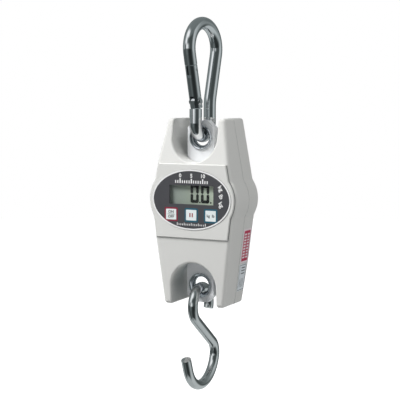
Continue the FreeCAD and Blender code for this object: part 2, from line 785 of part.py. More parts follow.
def build_gate():
    """The gate and what rides on it, drawn about the hinge rivet with +Z along the gate."""
    gate = new_body("snap_hook_gate")
    round_, top = "gate_wire / 2", "gate_reach - gate_gap"
    sketch = sketch_on(gate, "XY", level="-gate_end_round")
    circle(sketch, "0", "0", round_)
    pad(gate, sketch, f"{top} + gate_end_round")
    sketch = sketch_on(gate, "YZ")
    bend = ("right", "gate_end_round", "0", "0")
    below = "-2 * gate_end_round"
    outline(sketch, [("-hook_wire", below), ("hook_wire", below), ("hook_wire", "0"),
                     ("gate_end_round", "0", bend), ("-gate_end_round", "0"), ("-hook_wire", "0")])
    pocket(gate, sketch, "2 * hook_wire", both=True)
    sketch = sketch_on(gate, "YZ")
    floor, below = "tongue_round + 2 * fork_gap", "2 * gate_end_round"
    rectangle(sketch, "0", f"({floor} - {below}) / 2", "2 * hook_wire", f"{floor} + {below}")
    pocket(gate, sketch, "tongue_thick + 2 * fork_gap", both=True)
    sketch = sketch_on(gate, "YZ")
    slot = "nose_depth + nose_room"
    rectangle(sketch, "0", f"gate_reach - ({slot}) / 2", "2 * hook_wire", slot)
    pocket(gate, sketch, "nose_tongue + 2 * fork_gap", both=True)
    sketch = sketch_on(gate, "XZ")
    for side in ("-", ""):
        rectangle(sketch, f"{side}(gate_flat + hook_wire / 2)", "0", "hook_wire", "2 * gate_flat_reach")
    pocket(gate, sketch, "2 * hook_wire", both=True)
    sketch = sketch_on(gate, "YZ")
    circle(sketch, "0", "0", "rivet")
    circle(sketch, "0", "gate_reach - nose_pin_drop", "nose_pin")
    pocket(gate, sketch, "2 * hook_wire", both=True)
    sketch = sketch_on(gate, "XY", level="tongue_round")
    circle(sketch, "0", "0", "gate_bore")
    pocket(gate, sketch, BORE_DEPTH)

    rivet = new_body("gate_pin")
    sketch = sketch_on(rivet, "XY")
    crown, edge = "gate_flat + rivet_head_thick", "gate_flat + rivet_head_edge"
    half = [(crown, "rivet_crown"), (edge, "rivet_head"), ("gate_flat", "rivet_head"), ("gate_flat", "rivet")]
    other = [(f"-({x})", y) for x, y in half[::-1]]
    outline(sketch, [(f"-({crown})", "0"), (crown, "0")] + half + other)
    revolve(rivet, sketch, "H_Axis")

    nose = new_body("nose_pin")
    sketch = sketch_on(nose, "YZ")
    circle(sketch, "0", "gate_reach - nose_pin_drop", "nose_pin")
    pad(nose, sketch, f"2 * ({round_} - nose_pin_inset)", both=True)

    plunger = new_body("gate_plunger")
    sketch = sketch_on(plunger, "XY", level="tongue_round + fork_gap")
    circle(sketch, "0", "0", "gate_bore - 2 * running_gap")
    pad(plunger, sketch, "plunger_length")

    spring = new_body("gate_spring")
    sketch = sketch_on(spring, "XZ")
    foot = "(tongue_round + fork_gap + plunger_length)"
    rise = f"(tongue_round + {BORE_DEPTH} - {foot})"
    coils = int(number("spring_coils"))
    outer, inner = "gate_bore - 2 * running_gap", "gate_bore - 2 * running_gap - spring_wire"
    far, near = [], []
    for coil in range(coils):
        for step, x in ((0, "spring_groove"), (0.5, "0")):
            height = f"{foot} + {rise} * {(coil + step) / coils}"
            far.append((f"{outer} - {x}", height))
            near.append((f"{inner} - {x}", height))
    end = [(outer, f"{foot} + {rise}"), (inner, f"{foot} + {rise}")]
    outline(sketch, far + end + near[::-1])
    revolve(spring, sketch, "V_Axis")
    return [gate, rivet, nose, plunger, spring]


def build_bush(name, split_below):
    """A flared bush for an eye, split on the side that carries no load, about the eye's centre."""
    body = new_body(name)
    sketch = sketch_on(body, "YZ")
    groove = "plate_thick / 2 + running_gap"
    bend = ("left", "eye_round", "0", "eye_bore + eye_round")
    outline(sketch, [(f"-{LIP_Y}", "eye_flare", bend), (LIP_Y, "eye_flare"), (LIP_Y, "eye_lip"),
                     (groove, "eye_lip"), (groove, "eye_barrel"), (f"-({groove})", "eye_barrel"),
                     (f"-({groove})", "eye_lip"), (f"-{LIP_Y}", "eye_lip")])
    revolve(body, sketch, "H_Axis")
    sketch = sketch_on(body, "XZ")
    middle = "(eye_bore + eye_lip) / 2"
    rectangle(sketch, "0", f"-{middle}" if split_below else middle, "eye_split", "2 * eye_round")
    pocket(body, sketch, "4 * eye_round", both=True)
    return body


def build_s_hook():
    """Round wire in an S: a loop round the eye, a slanted run, a shoulder, the load bowl and its tip."""
    body = new_body("s_hook")
    slope = math.radians(number("shook_slope"))
    lean = math.radians(number("shook_tip_lean"))
    loop, turn, bowl = number("shook_loop"), number("shook_shoulder"), number("shook_bowl")
    run = V(math.cos(slope), -math.sin(slope), 0)
    inward = V(-math.sin(slope), -math.cos(slope), 0)
    leave = inward * loop
    bowl_centre = V(number("shook_bowl_back"), -number(BOWL_DROP), 0)
    across = bowl_centre.dot(inward) - loop
    forward = bowl_centre.dot(run) + math.sqrt((bowl - turn) ** 2 - (across - turn) ** 2)
    meet = leave + run * forward
    turn_centre = meet + inward * turn
    to_bowl = (turn_centre - bowl_centre).normalize()
    join = bowl_centre + to_bowl * bowl
    bowl_end = bowl_centre - V(math.cos(lean), math.sin(lean), 0) * bowl
    tip_reach = (number("shook_tip_rise") + bowl * math.sin(lean)) / math.cos(lean)
    tip = bowl_end + V(-math.sin(lean), math.cos(lean), 0) * tip_reach
    start = math.asin(number("shook_loop_end") / loop)
    sketch = sketch_on(body, "YZ")
    leave_angle = math.atan2(leave.y, leave.x) + 2 * math.pi
    join_angle = math.atan2(to_bowl.y, to_bowl.x)
    arc(sketch, V(0, 0, 0), loop, start, leave_angle)
    line(sketch, leave, meet)
    arc(sketch, turn_centre, turn, join_angle, math.pi / 2 - slope)
    arc(sketch, bowl_centre, bowl, lean - math.pi, join_angle)
    line(sketch, bowl_end, tip)
    chain(sketch, [(0, 2, 1, 1), (1, 2, 2, 2), (2, 1, 3, 2), (3, 1, 4, 1)])
    fix(sketch, "DistanceX", (0, 3), "0")
    fix(sketch, "DistanceY", (0, 3), "0")
    fix(sketch, "Radius", (0,), "shook_loop")
    fix(sketch, "DistanceY", (0, 1), "shook_loop_end")
    fix(sketch, "DistanceX", (0, 2), "-shook_loop * sin(shook_slope)")
    fix(sketch, "Radius", (2,), "shook_shoulder")
    fix(sketch, "DistanceX", (3, 3), "shook_bowl_back")
    fix(sketch, "DistanceY", (3, 3), f"-{BOWL_DROP}")
    fix(sketch, "Radius", (3,), "shook_bowl")
    fix(sketch, "DistanceX", (3, 1), "shook_bowl_back - shook_bowl * cos(shook_tip_lean)")
    fix(sketch, "DistanceY", (4, 2), f"shook_tip_rise - {BOWL_DROP}")
    wire_sweep(body, sketch, "shook_wire / 2", 5)
    return body


def build_load_plate():
    """Flat plate with an eye at each end and a slotted middle that bends under load."""
    body = new_body("load_plate")
    sketch = sketch_on(body, "XZ", level="plate_thick / 2")
    neck, side = "plate_neck / 2", "plate_width / 2"
    foot = "(eye_pitch + plate_end)"
    low = "-(eye_pitch - plate_shoulder)"
    right = [(f"{neck} - plate_corner", "plate_end"), (neck, "plate_end - plate_corner"),
             (neck, "-plate_shoulder"), (side, "-plate_shoulder"), (side, low), (neck, low),
             (neck, f"-({foot} - plate_corner)"), (f"{neck} - plate_corner", f"-{foot}")]
    outline(sketch, right + [(f"-({x})", z) for x, z in right[::-1]])
    pad(body, sketch, "plate_thick")
    sketch = sketch_on(body, "XZ")
    middle = "-eye_pitch / 2"
    circle(sketch, "0", "0", "eye_barrel + running_gap")
    circle(sketch, "0", "-eye_pitch", "eye_barrel + running_gap")
    for x, z in PLATE_SCREWS:
        circle(sketch, x, z, "case_screw + 4 * screw_gap")
    rectangle(sketch, "-plate_slot_web", f"{middle} + plate_slot_pitch / 2", "plate_width", "plate_slot")
    rectangle(sketch, "plate_slot_web", f"{middle} - plate_slot_pitch / 2", "plate_width", "plate_slot")
    flat, r = "(plate_window / 2 - plate_window_round)", "plate_window_round"
    low, high = f"{middle} - {r}", f"{middle} + {r}"
    outline(sketch, [(f"-{flat}", low), (flat, low, ("left", r, flat, middle)),
                     (flat, high), (f"-{flat}", high, ("left", r, f"-{flat}", middle))])
    pocket(body, sketch, "2 * plate_thick", both=True)
    return body


def build_strain_gauges():
    """Four foil gauges on the faces of the plate's window."""
    flat = "(plate_window / 2 - plate_window_round)"
    gauges = []
    for side in ("-", ""):
        for above in ("-", ""):
            height = f"-eye_pitch / 2 {above or '+'} (plate_window_round - gauge_thick / 2)"
            gauges.append(box("Gauge", f"{side}({flat} - gauge_length / 2)", "0", height,
                              "gauge_length - fit_gap", "gauge_width", "gauge_thick"))
    return group("strain_gauges", gauges)


def build_gauge_lead():
    """Screened lead from the plate's window to the back of the board, with two bends."""
    body = new_body("gauge_lead")
    sketch = sketch_on(body, "YZ")
    start, stop = f"-{BOARD_BACK}", "plate_thick / 4"
    low = "-(eye_pitch / 2 + plate_window_round - lead_inset)"
    high = "-(eye_pitch / 2 - plate_window_round + lead_inset)"
    middle = f"(-{BOARD_BACK} - plate_thick / 2) / 2"
    r = number("lead_bend")
    y0, y1, y2 = number(start), number(middle), number(stop)
    z0, z1 = number(low), number(high)
    quarter = math.pi / 2
    line(sketch, V(y0, z0, 0), V(y1 - r, z0, 0))
    arc(sketch, V(y1 - r, z0 + r, 0), r, -quarter, 0)
    line(sketch, V(y1, z0 + r, 0), V(y1, z1 - r, 0))
    arc(sketch, V(y1 + r, z1 - r, 0), r, quarter, 2 * quarter)
    line(sketch, V(y1 + r, z1, 0), V(y2, z1, 0))
    chain(sketch, [(0, 2, 1, 1), (1, 2, 2, 1), (2, 2, 3, 2), (3, 1, 4, 1)])
    sketch.addConstraint(Sketcher.Constraint("Horizontal", 0))
    sketch.addConstraint(Sketcher.Constraint("Vertical", 2))
    sketch.addConstraint(Sketcher.Constraint("Horizontal", 4))
    fix(sketch, "DistanceX", (0, 1), start)
    fix(sketch, "DistanceY", (0, 1), low)
    fix(sketch, "DistanceX", (2, 1), middle)
    fix(sketch, "Radius", (1,), "lead_bend")
    fix(sketch, "Radius", (3,), "lead_bend")
    fix(sketch, "DistanceX", (4, 2), stop)
    fix(sketch, "DistanceY", (4, 2), high)
    wire_sweep(body, sketch, "lead_wire / 2", 5)
    return body


def case_outline(body, level):
    """Sketch of the case's whole outline at a level."""
    sketch = sketch_on(body, "XZ", level=level)
    right = flank("0", "-case_top", CASE_FOOT)
    outline(sketch, right + mirrored(right))
    return sketch


def build_front_cover():
    """Front shell: a sloped face, a raised pad for the label, two notches, bosses and openings."""
    body = new_body("front_cover")
    pad(body, case_outline(body, "part_line"), "part_line + front_middle")
    sketch = sketch_on(body, "YZ")
    beyond = "-front_middle - 5"
    outline(sketch, [("-front_top", "case_top"), ("-front_top", "case_top + 5"), (beyond, "case_top + 5"),
                     (beyond, "-pad_top"), ("-front_middle", "-pad_top")])
    pocket(body, sketch, "4 * case_half_upper", both=True)
    sketch = sketch_on(body, "YZ")
    outline(sketch, [("-front_middle", "-pad_foot"), (beyond, "-pad_foot"), (beyond, f"-{CASE_FOOT} - 5"),
                     ("-front_foot", f"-{CASE_FOOT} - 5"), ("-front_foot", f"-{CASE_FOOT}")])
    pocket(body, sketch, "4 * case_half_upper", both=True)
    dress(body, "Fillet", "crease_round", lambda edge: along(edge, ACROSS) and not on_end(edge))
    round_case(body, -1, "case_edge")
    cut_notches(body, "4 * front_middle")
    dress(body, "Fillet", "notch_edge", lambda edge: on_notch(edge, -1))

    sketch = sketch_on(body, "XZ", level="-front_middle + wall / 2")
    right = flank("pad_inset", "pad_top", "pad_foot")
    outline(sketch, right + mirrored(right))
    pad(body, sketch, "pad_face - front_middle + wall / 2")
    face = -number("pad_face")
    dress(body, "Chamfer", "pad_edge", lambda edge: all(abs(v.Point.y - face) < 0.01 for v in edge.Vertexes))

    foot = "eye_pitch - foot_depth"
    below = "notch + wall + notch_web"
    for depth, top, low in (("upper_hollow", "arm_depth", foot), ("lower_hollow", below, foot),
                            (INNER_FACE, below, "pad_foot - wall")):
        sketch = sketch_on(body, "XZ", level="part_line")
        outline(sketch, hollow(top, low))
        pocket(body, sketch, f"part_line + {depth}")
    sketch = sketch_on(body, "XY")
    half, deep = "plate_neck / 2 + plate_slot_gap", "plate_thick / 2 + plate_slot_gap"
    outline(sketch, [(f"-({half})", f"-({deep})"), (half, f"-({deep})"),
                     (half, "2 * part_line"), (f"-({half})", "2 * part_line")])
    pocket(body, sketch, "4 * eye_pitch", both=True)

    sketch = sketch_on(body, "XZ", level="part_line")
    for x, z in CASE_SCREWS:
        circle(sketch, x, z, "front_boss")
    pad(body, sketch, "part_line + lower_hollow + fit_gap")
    sketch = sketch_on(body, "XZ", level="part_line")
    for x, z in CASE_SCREWS:
        circle(sketch, x, z, "case_screw + screw_gap")
    pocket(body, sketch, "case_screw_length + part_line - case_screw_seat + screw_room")
    sketch = sketch_on(body, "XZ", level="-board_front")
    for x, z in BOARD_SCREWS:
        circle(sketch, x, z, "board_boss")
    pad(body, sketch, f"{INNER_FACE} - board_front + fit_gap")
    sketch = sketch_on(body, "XZ", level="-board_front")
    for x, z in BOARD_SCREWS:
        circle(sketch, x, z, "small_screw + screw_gap")
    pocket(body, sketch, "board_screw_length")

    sketch = sketch_on(body, "XZ", level="-pad_face")
    ellipse(sketch, "0", "-label_centre", f"{LABEL_HALF} + fit_gap", "label_half_height + fit_gap")
    pocket(body, sketch, "label_recess", back=True)
    sketch = sketch_on(body, "XZ", level="-pad_face")
    border = "2 * lens_border + 2 * fit_gap"
    width, height = f"window_width + {border}", f"window_height + {border}"
    rectangle(sketch, "window_centre_x", "-window_centre", width, height)
    for x in KEYS.values():
        rectangle(sketch, x, "-key_row", "key_width + 4 * key_gap", "key_height + 4 * key_gap")
    pocket(body, sketch, "3 * wall", back=True)
    return body


def build_rear_cover():
    """Rear shell: notches, posts for the plate, screw bosses and the battery bay with its door recess."""
    body = new_body("rear_cover")
    pad(body, case_outline(body, "part_line"), "back_face - part_line", back=True)
    sketch = sketch_on(body, "YZ")
    beyond = "back_face + 5"
    outline(sketch, [("back_face", "-back_bend"), ("back_foot", f"-{CASE_FOOT}"),
                     ("back_foot", f"-{CASE_FOOT} - 5"),
                     (beyond, f"-{CASE_FOOT} - 5"), (beyond, "-back_bend")])
    pocket(body, sketch, "4 * case_half_upper", both=True)
    round_case(body, 1, "back_edge")
    cut_notches(body, "4 * back_face")
    dress(body, "Fillet", "notch_edge", lambda edge: on_notch(edge, 1))

    foot = "eye_pitch - foot_depth"
    for depth, low in (("back_lower_hollow", foot), (BACK_INNER, "pad_foot")):
        sketch = sketch_on(body, "XZ", level="part_line")
        outline(sketch, hollow("arm_depth", low))
        pocket(body, sketch, f"{depth} - part_line", back=True)

    sketch = sketch_on(body, "XZ", level="bay_floor - bay_wall")
    width, height = f"{BAY_WIDTH} + 2 * bay_wall", "bay_height + 2 * bay_wall"
    rectangle(sketch, "0", "-(bay_top + bay_height / 2)", width, height)
    pad(body, sketch, f"{BACK_INNER} - bay_floor + bay_wall", back=True)
    sketch = sketch_on(body, "XZ", level="part_line")
    for x, z in CASE_SCREWS:
        circle(sketch, x, z, "case_boss")
    pad(body, sketch, f"{BACK_INNER} - part_line", back=True)
    sketch = sketch_on(body, "XZ", level="plate_thick / 2")
    for x, z in PLATE_SCREWS:
        circle(sketch, x, z, "post")
    pad(body, sketch, f"{BACK_INNER} - plate_thick / 2", back=True)

    sketch = sketch_on(body, "XZ", level="back_face")
    rectangle(sketch, "0", "-(bay_top + bay_height / 2)", BAY_WIDTH, "bay_height")
    pocket(body, sketch, "back_face - bay_floor")
    sketch = sketch_on(body, "XZ", level="back_face")
    ledge = "2 * door_ledge + 2 * door_gap"
    rectangle(sketch, "0", "-(bay_top + bay_height / 2)", f"{BAY_WIDTH} + {ledge}", f"bay_height + {ledge}")
    pocket(body, sketch, f"back_face - {DOOR_FLOOR}")
    sketch = sketch_on(body, "YZ")
    circle(sketch, PIVOT_Y, f"-{PIVOT_Z}", "door_pivot + running_gap")
    pocket(body, sketch, f"{BAY_WIDTH} + {ledge} + 2 * door_pivot_length + 2 * fit_gap", both=True)
    sketch = sketch_on(body, "XZ", level="back_face")
    circle(sketch, "0", "-(bay_top - door_ledge - door_gap)", "door_scoop")
    pocket(body, sketch, "wall / 2")

    sketch = sketch_on(body, "XZ", level="back_face")
    for x, z in CASE_SCREWS:
        circle(sketch, x, z, "case_screw_head + head_gap")
    pocket(body, sketch, "back_face - case_screw_seat")
    sketch = sketch_on(body, "XZ", level="back_face")
    for x, z in CASE_SCREWS:
        circle(sketch, x, z, "case_screw + 4 * screw_gap")
    pocket(body, sketch, "back_face")
    sketch = sketch_on(body, "XZ", level="plate_thick / 2")
    for x, z in PLATE_SCREWS:
        circle(sketch, x, z, "case_screw + screw_gap")
    pocket(body, sketch, "plate_screw_length - plate_thick + screw_room", back=True)
    return body


def build_battery_door():
    """Door with a rounded lower edge, a pivot nub at each end of it and grip ribs."""
    body = new_body("battery_door")
    sketch = sketch_on(body, "YZ")
    top = "-(bay_top - door_ledge)"
    half = "door_thick / 2"
    outline(sketch, [(DOOR_FRONT, top), (DOOR_FRONT, f"-{PIVOT_Z}", ("left", half, PIVOT_Y, f"-{PIVOT_Z}")),
                     (DOOR_BACK, f"-{PIVOT_Z}"), (DOOR_BACK, top)])
    pad(body, sketch, f"{BAY_WIDTH} + 2 * door_ledge", both=True)
    sketch = sketch_on(body, "YZ")
    circle(sketch, PIVOT_Y, f"-{PIVOT_Z}", "door_pivot")
    pad(body, sketch, f"{BAY_WIDTH} + 2 * door_ledge + 2 * door_gap + 2 * door_pivot_length", both=True)
    sketch = sketch_on(body, "XZ", level=DOOR_BACK)
    for groove in range(GRIP_GROOVES):
        height = f"-(bay_top + grip_start + {groove} * grip_pitch)"
        rectangle(sketch, "0", height, "grip_width", "grip_pitch / 2")
    pocket(body, sketch, "grip_depth")
    return body


def build_batteries():
    """Three dry cells side by side, each with its nub."""
    cells = []
    for place_ in (-1, 0, 1):
        foot = "bay_top + bay_height / 2 + battery_length / 2"
        can = rod("Can", f"{place_} * battery_pitch", BATTERY_Y, f"-({foot})",
                  "battery_radius", "battery_length")
        nub = rod("Nub", f"{place_} * battery_pitch", BATTERY_Y, f"-({foot}) + battery_length",
                  "battery_nub_radius", "battery_nub")
        cells.append(fuse("Cell", [can, nub]))
    return group("batteries", cells)


def build_battery_contacts():
    """Flat contacts above the cells and leaf springs below them."""
    contacts = []
    for place_ in (-1, 0, 1):
        x = f"{place_} * battery_pitch"
        above = "-(bay_top + contact_thick / 2)"
        plate = box("Plate", x, BATTERY_Y, above, "contact_width", "contact_width", "contact_thick")
        rise = "(bay_height - battery_length) / 2 - battery_nub - contact_thick - fit_gap"
        tip = rod("Tip", x, BATTERY_Y, f"-(bay_top + contact_thick) - ({rise})",
                  "battery_nub_radius / 2", rise)
        contacts.append(fuse("Contact", [plate, tip]))
    for place_ in (-1, 0, 1):
        spring = doc.addObject("PartDesign::Body", "LeafSpring")
        sketch = sketch_on(spring, "YZ")
        foot, room = f"-{BAY_FOOT}", "((bay_height - battery_length) / 2 - fit_gap)"
        thick, half, crest = "contact_thick", "contact_width / 2", "contact_width / 6"
        outline(sketch, [("-" + half, foot), (half, foot), (half, f"{foot} + {thick}"),
                         (f"-({half}) + 2 * {thick}", f"{foot} + {thick}"),
                         (crest, f"{foot} + {room} - {thick}"),
                         (half, f"{foot} + {room} - 3 * {thick}"), (half, f"{foot} + {room} - 2 * {thick}"),
                         (crest, f"{foot} + {room}"), (f"-({half})", f"{foot} + {thick}")])
        pad(spring, sketch, "contact_width", both=True)
        place(spring, f"{place_} * battery_pitch", BATTERY_Y)
        contacts.append(spring)
    return group("battery_contacts", contacts)


def build_label():
    """Oval front label with openings for the display and the keys."""
    body = new_body("front_label")
    sketch = sketch_on(body, "XZ", level=f"-{LABEL_BACK}")
    ellipse(sketch, "0", "-label_centre", LABEL_HALF, "label_half_height")
    rectangle(sketch, "window_centre_x", "-window_centre", "window_width", "window_height")
    for x in KEYS.values():
        rectangle(sketch, x, "-key_row", "key_width + 2 * key_gap", "key_height + 2 * key_gap")
    pad(body, sketch, "label_thick")
    return body


def build_display():
    """Lens behind the label, liquid crystal cell, its holder and the two contact strips."""
    lens = new_body("display_window")
    sketch = sketch_on(lens, "XZ", level=f"-{LABEL_BACK} + lens_thick")
    rectangle(sketch, "window_centre_x", "-window_centre",
              "window_width + 2 * lens_border", "window_height + 2 * lens_border")
    pad(lens, sketch, "lens_thick")
    glass = new_body("display_glass")
    sketch = sketch_on(glass, "XZ", level=f"-{GLASS_BACK}")
    rectangle(sketch, "window_centre_x", "-glass_centre", "glass_width", "glass_height")
    pad(glass, sketch, "glass_thick")

    holder = new_body("display_holder")
    border = "2 * holder_wall + 2 * fit_gap"
    sketch = sketch_on(holder, "XZ", level="-board_front")
    width, height = f"glass_width + {border}", f"glass_height + {border}"
    rectangle(sketch, "window_centre_x", "-glass_centre", width, height)
    pad(holder, sketch, f"{GLASS_FRONT} - board_front - 2 * fit_gap")
    sketch = sketch_on(holder, "XZ", level=f"-{GLASS_BACK}")
    width, height = "glass_width + 2 * fit_gap", "glass_height + 2 * fit_gap"
    rectangle(sketch, "window_centre_x", "-glass_centre", width, height)
    pocket(holder, sketch, "glass_thick")
    sketch = sketch_on(holder, "XZ", level="-board_front")
    offset = "(glass_height / 2 - strip_width / 2 - strip_inset)"
    for side in ("-", "+"):
        rectangle(sketch, "window_centre_x", f"-glass_centre {side} {offset}",
                  "strip_length + 2 * fit_gap", "strip_width + 2 * fit_gap")
    rectangle(sketch, "window_centre_x", "-glass_centre", "strip_length", f"2 * {offset} - 2 * strip_width")
    pocket(holder, sketch, f"{GLASS_BACK} - board_front + fit_gap")

    strips = []
    for side in ("-", "+"):
        strips.append(box("Strip", "window_centre_x", f"-({GLASS_BACK} + board_front) / 2",
                          f"-glass_centre {side} {offset}", "strip_length",
                          f"{GLASS_BACK} - board_front", "strip_width"))
    group("contact_strips", strips)


def build_key(name, x):
    """A square key cap with a flange behind the wall that keeps it in."""
    body = new_body(name)
    front = f"({LABEL_FRONT} + key_proud)"
    flange = f"({INNER_FACE} - fit_gap)"
    sketch = sketch_on(body, "XZ", level=f"-{flange}")
    rectangle(sketch, x, "-key_row", "key_width", "key_height")
    pad(body, sketch, f"{front} - {flange}")
    dress(body, "Fillet", "key_round", lambda edge: along(edge, BACKWARD))
    sketch = sketch_on(body, "XZ", level=f"-{flange} + key_flange_thick")
    rectangle(sketch, x, "-key_row", "key_width + 2 * key_flange", "key_height + 2 * key_flange")
    pad(body, sketch, "key_flange_thick")
    return body


def build_board():
    """Circuit board, the parts on its back, and the key switches on its front."""
    board = new_body("main_board")
    sketch = sketch_on(board, "XZ", level=f"-{BOARD_BACK}")
    rectangle(sketch, "0", "-(board_top + board_height / 2)", f"2 * {BOARD_HALF}", "board_height")
    for x, z in BOARD_SCREWS:
        circle(sketch, x, z, "small_screw + 2 * screw_gap")
    pad(board, sketch, "board_thick")

    middle = "-(board_top + board_height / 2)"
    parts = []
    for name in CHIPS:
        rise = f"{name}_rise"
        parts.append(box(name, f"{name}_x", f"-{BOARD_BACK} + {rise} / 2", f"{middle} + {name}_z",
                         f"{name}_length", rise, f"{name}_height"))
    for step in (0, 1):
        parts.append(rod("capacitor", f"capacitor_x + {step} * capacitor_pitch", f"-{BOARD_BACK}",
                         f"{middle} + capacitor_z", "capacitor_radius", "capacitor_rise", backward=True))
    group("board_parts", parts)

    switches = []
    for x in KEYS.values():
        case = box("Switch", x, "-board_front - switch_height / 2", "-key_row",
                   "switch_width", "switch_height", "switch_width")
        rise = rod("Plunger", x, "-board_front - switch_height - switch_plunger_rise", "-key_row",
                   "switch_plunger", "switch_plunger_rise", backward=True)
        switches.append(fuse("KeySwitch", [case, rise]))
    group("tact_switches", switches)


def screw(name, x, z, seat, radius, length, head, head_thick, forward):
    """A pan-head screw along Y with a cross recess; its head lies on the seat's plane."""
    body = doc.addObject("PartDesign::Body", name)
    sketch = sketch_on(body, "XY")
    tip, crown = f"({radius}) / 2", f"({head_thick}) / 2"
    outline(sketch, [("0", f"-({length})"), (tip, f"-({length})"), (radius, f"-({length}) + {tip}"),
                     (radius, "0"), (head, "0"), (head, crown), (f"({head}) - {crown}", head_thick),
                     ("0", head_thick)])
    revolve(body, sketch, "V_Axis")
    sketch = sketch_on(body, "XZ", level=head_thick)
    scale = f"({head}) / case_screw_head / 2"
    arm, broad = f"recess_length * {scale}", f"recess_width * {scale}"
    quarter = [(arm, broad), (broad, broad), (broad, arm)]
    points = quarter + [(f"-({x_})", z_) for x_, z_ in quarter[::-1]]
    points += [(f"-({x_})", f"-({z_})") for x_, z_ in quarter]
    points += [(x_, f"-({z_})") for x_, z_ in quarter[::-1]]
    outline(sketch, points)
    pocket(body, sketch, f"recess_depth * ({head_thick}) / case_screw_head_thick")
    if forward:
        body.Placement = FreeCAD.Placement(V(0, 0, 0), FreeCAD.Rotation(V(0, 0, 1), 180))
    place(body, x, seat, z)
    return body


def build_screws():
    """Four case screws from the back, two plate screws from the front and four board screws."""
    group("case_screws", [
        screw("CaseScrew", x, z, "case_screw_seat", "case_screw", "case_screw_length", "case_screw_head",
              "case_screw_head_thick", False) for x, z in CASE_SCREWS])
    group("plate_screws", [
        screw("PlateScrew", x, z, "-plate_thick / 2", "case_screw", "plate_screw_length", "case_screw_head",
              "case_screw_head_thick", True) for x, z in PLATE_SCREWS])
    group("board_screws", [
        screw("BoardScrew", x, z, f"-{BOARD_BACK}", "small_screw", "board_screw_length", "small_screw_head",
              "small_screw_head_thick", False) for x, z in BOARD_SCREWS])


# Snap hook and gate, turned a little about the vertical as the hook hangs in its eye
turn = FreeCAD.Rotation(V(0, 0, 1), -number("hook_turn"))
lean_turn = FreeCAD.Rotation(V(1, 0, 0), number(LEAN))
build_snap_hook().Placement = FreeCAD.Placement(V(0, 0, 0), turn)
pin_place = turn.multVec(V(0, -number("hook_neck"), number(PIN_Z)))
for piece in build_gate():
    piece.Placement = FreeCAD.Placement(pin_place, turn.multiply(lean_turn))

# Case, plate and everything inside, drawn about the upper eye
first_in_case = len(nodes)
build_bush("upper_eye_bush", split_below=True)
build_load_plate()
build_strain_gauges()
build_gauge_lead()
build_front_cover()
build_rear_cover()
build_battery_door()
build_batteries()
build_battery_contacts()
build_label()
build_display()
for key_name, key_x in KEYS.items():
    build_key(key_name, key_x)
build_board()
build_screws()
for piece in nodes[first_in_case:]:
    place(piece, z=EYE_Z)

# Lower bush and the S-hook, whose loop hangs on the bush's lower rim
place(build_bush("lower_eye_bush", split_below=False), z=f"{EYE_Z} - eye_pitch")
LOOP_REACH = "(shook_loop - shook_wire / 2 - hang_gap - eye_round)"
place(build_s_hook(), y="-shook_shift",
      z=f"{EYE_Z} - eye_pitch - eye_bore - eye_round - sqrt({LOOP_REACH} ^ 2 - shook_shift ^ 2)")

doc.recompute()
for thing in doc.Objects:
    if "Invalid" in thing.State or "Error" in thing.State:
        raise RuntimeError(f"{thing.Name} failed")
os.makedirs("parts", exist_ok=True)
for node in nodes:
    shape = node.Shape
    if shape.isNull() or not shape.isValid() or not shape.Solids:
        raise RuntimeError(f"{node.Label} has no valid shape")
    shape.exportStep(f"parts/{node.Label}.step")
    bounds = shape.BoundBox
    reach = f"z {bounds.ZMin:.1f} to {bounds.ZMax:.1f}"
    print(f"{node.Label}: {len(shape.Solids)} solids, {shape.Volume:.1f} mm3, {reach}")
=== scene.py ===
import bmesh
import bpy
import json
import math
from mathutils import Matrix, Vector


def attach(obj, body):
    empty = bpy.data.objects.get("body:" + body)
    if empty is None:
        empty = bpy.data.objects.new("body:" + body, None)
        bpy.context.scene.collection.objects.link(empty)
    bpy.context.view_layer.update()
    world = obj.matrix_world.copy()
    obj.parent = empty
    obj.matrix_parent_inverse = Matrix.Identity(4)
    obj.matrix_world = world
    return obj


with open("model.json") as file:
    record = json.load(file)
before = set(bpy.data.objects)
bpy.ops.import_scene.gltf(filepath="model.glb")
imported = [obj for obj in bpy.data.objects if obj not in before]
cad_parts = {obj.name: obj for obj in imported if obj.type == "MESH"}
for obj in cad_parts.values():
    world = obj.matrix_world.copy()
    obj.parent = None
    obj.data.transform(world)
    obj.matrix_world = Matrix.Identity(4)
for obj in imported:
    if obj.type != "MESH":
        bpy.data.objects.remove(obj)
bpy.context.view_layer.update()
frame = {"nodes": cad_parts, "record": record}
nodes = frame["nodes"]
mm = 0.001
eye = -68.85  # height of the upper eye's centre in mm; heights on the case count from it
print("frame loaded:", len(nodes), "nodes")


def tone(red, green, blue):  # a colour as a screen shows it, made linear
    parts = [part / 255 for part in (red, green, blue)]
    return tuple(part / 12.92 if part <= 0.04045 else ((part + 0.055) / 1.055) ** 2.4 for part in parts) + (1,)


shot = {"azimuth": 26.5, "elevation": 5.285, "roll": 0.18, "lens": 98.19, "sensor": 36,
        "aim": (-1.80, 0, -109.46), "distance": 707.6, "near": 10, "far": 20000}


def aimAt(turn, lift):  # direction from the object towards a camera or lamp
    turn, lift = math.radians(turn), math.radians(lift)
    return Vector((math.sin(turn) * math.cos(lift), -math.cos(turn) * math.cos(lift), math.sin(lift)))


def makeCamera():
    camData = bpy.data.cameras.new("camera")
    camData.sensor_width, camData.lens = shot["sensor"], shot["lens"]
    camData.clip_start, camData.clip_end = shot["near"] * mm, shot["far"] * mm
    cam = bpy.data.objects.new("camera", camData)
    bpy.context.scene.collection.objects.link(cam)
    away = aimAt(shot["azimuth"], shot["elevation"])
    place = Matrix.Translation((Vector(shot["aim"]) + away * shot["distance"]) * mm)
    look = (-away).to_track_quat("-Z", "Y").to_matrix().to_4x4()
    cam.matrix_world = place @ look @ Matrix.Rotation(math.radians(shot["roll"]), 4, "Z")
    bpy.context.scene.camera = cam


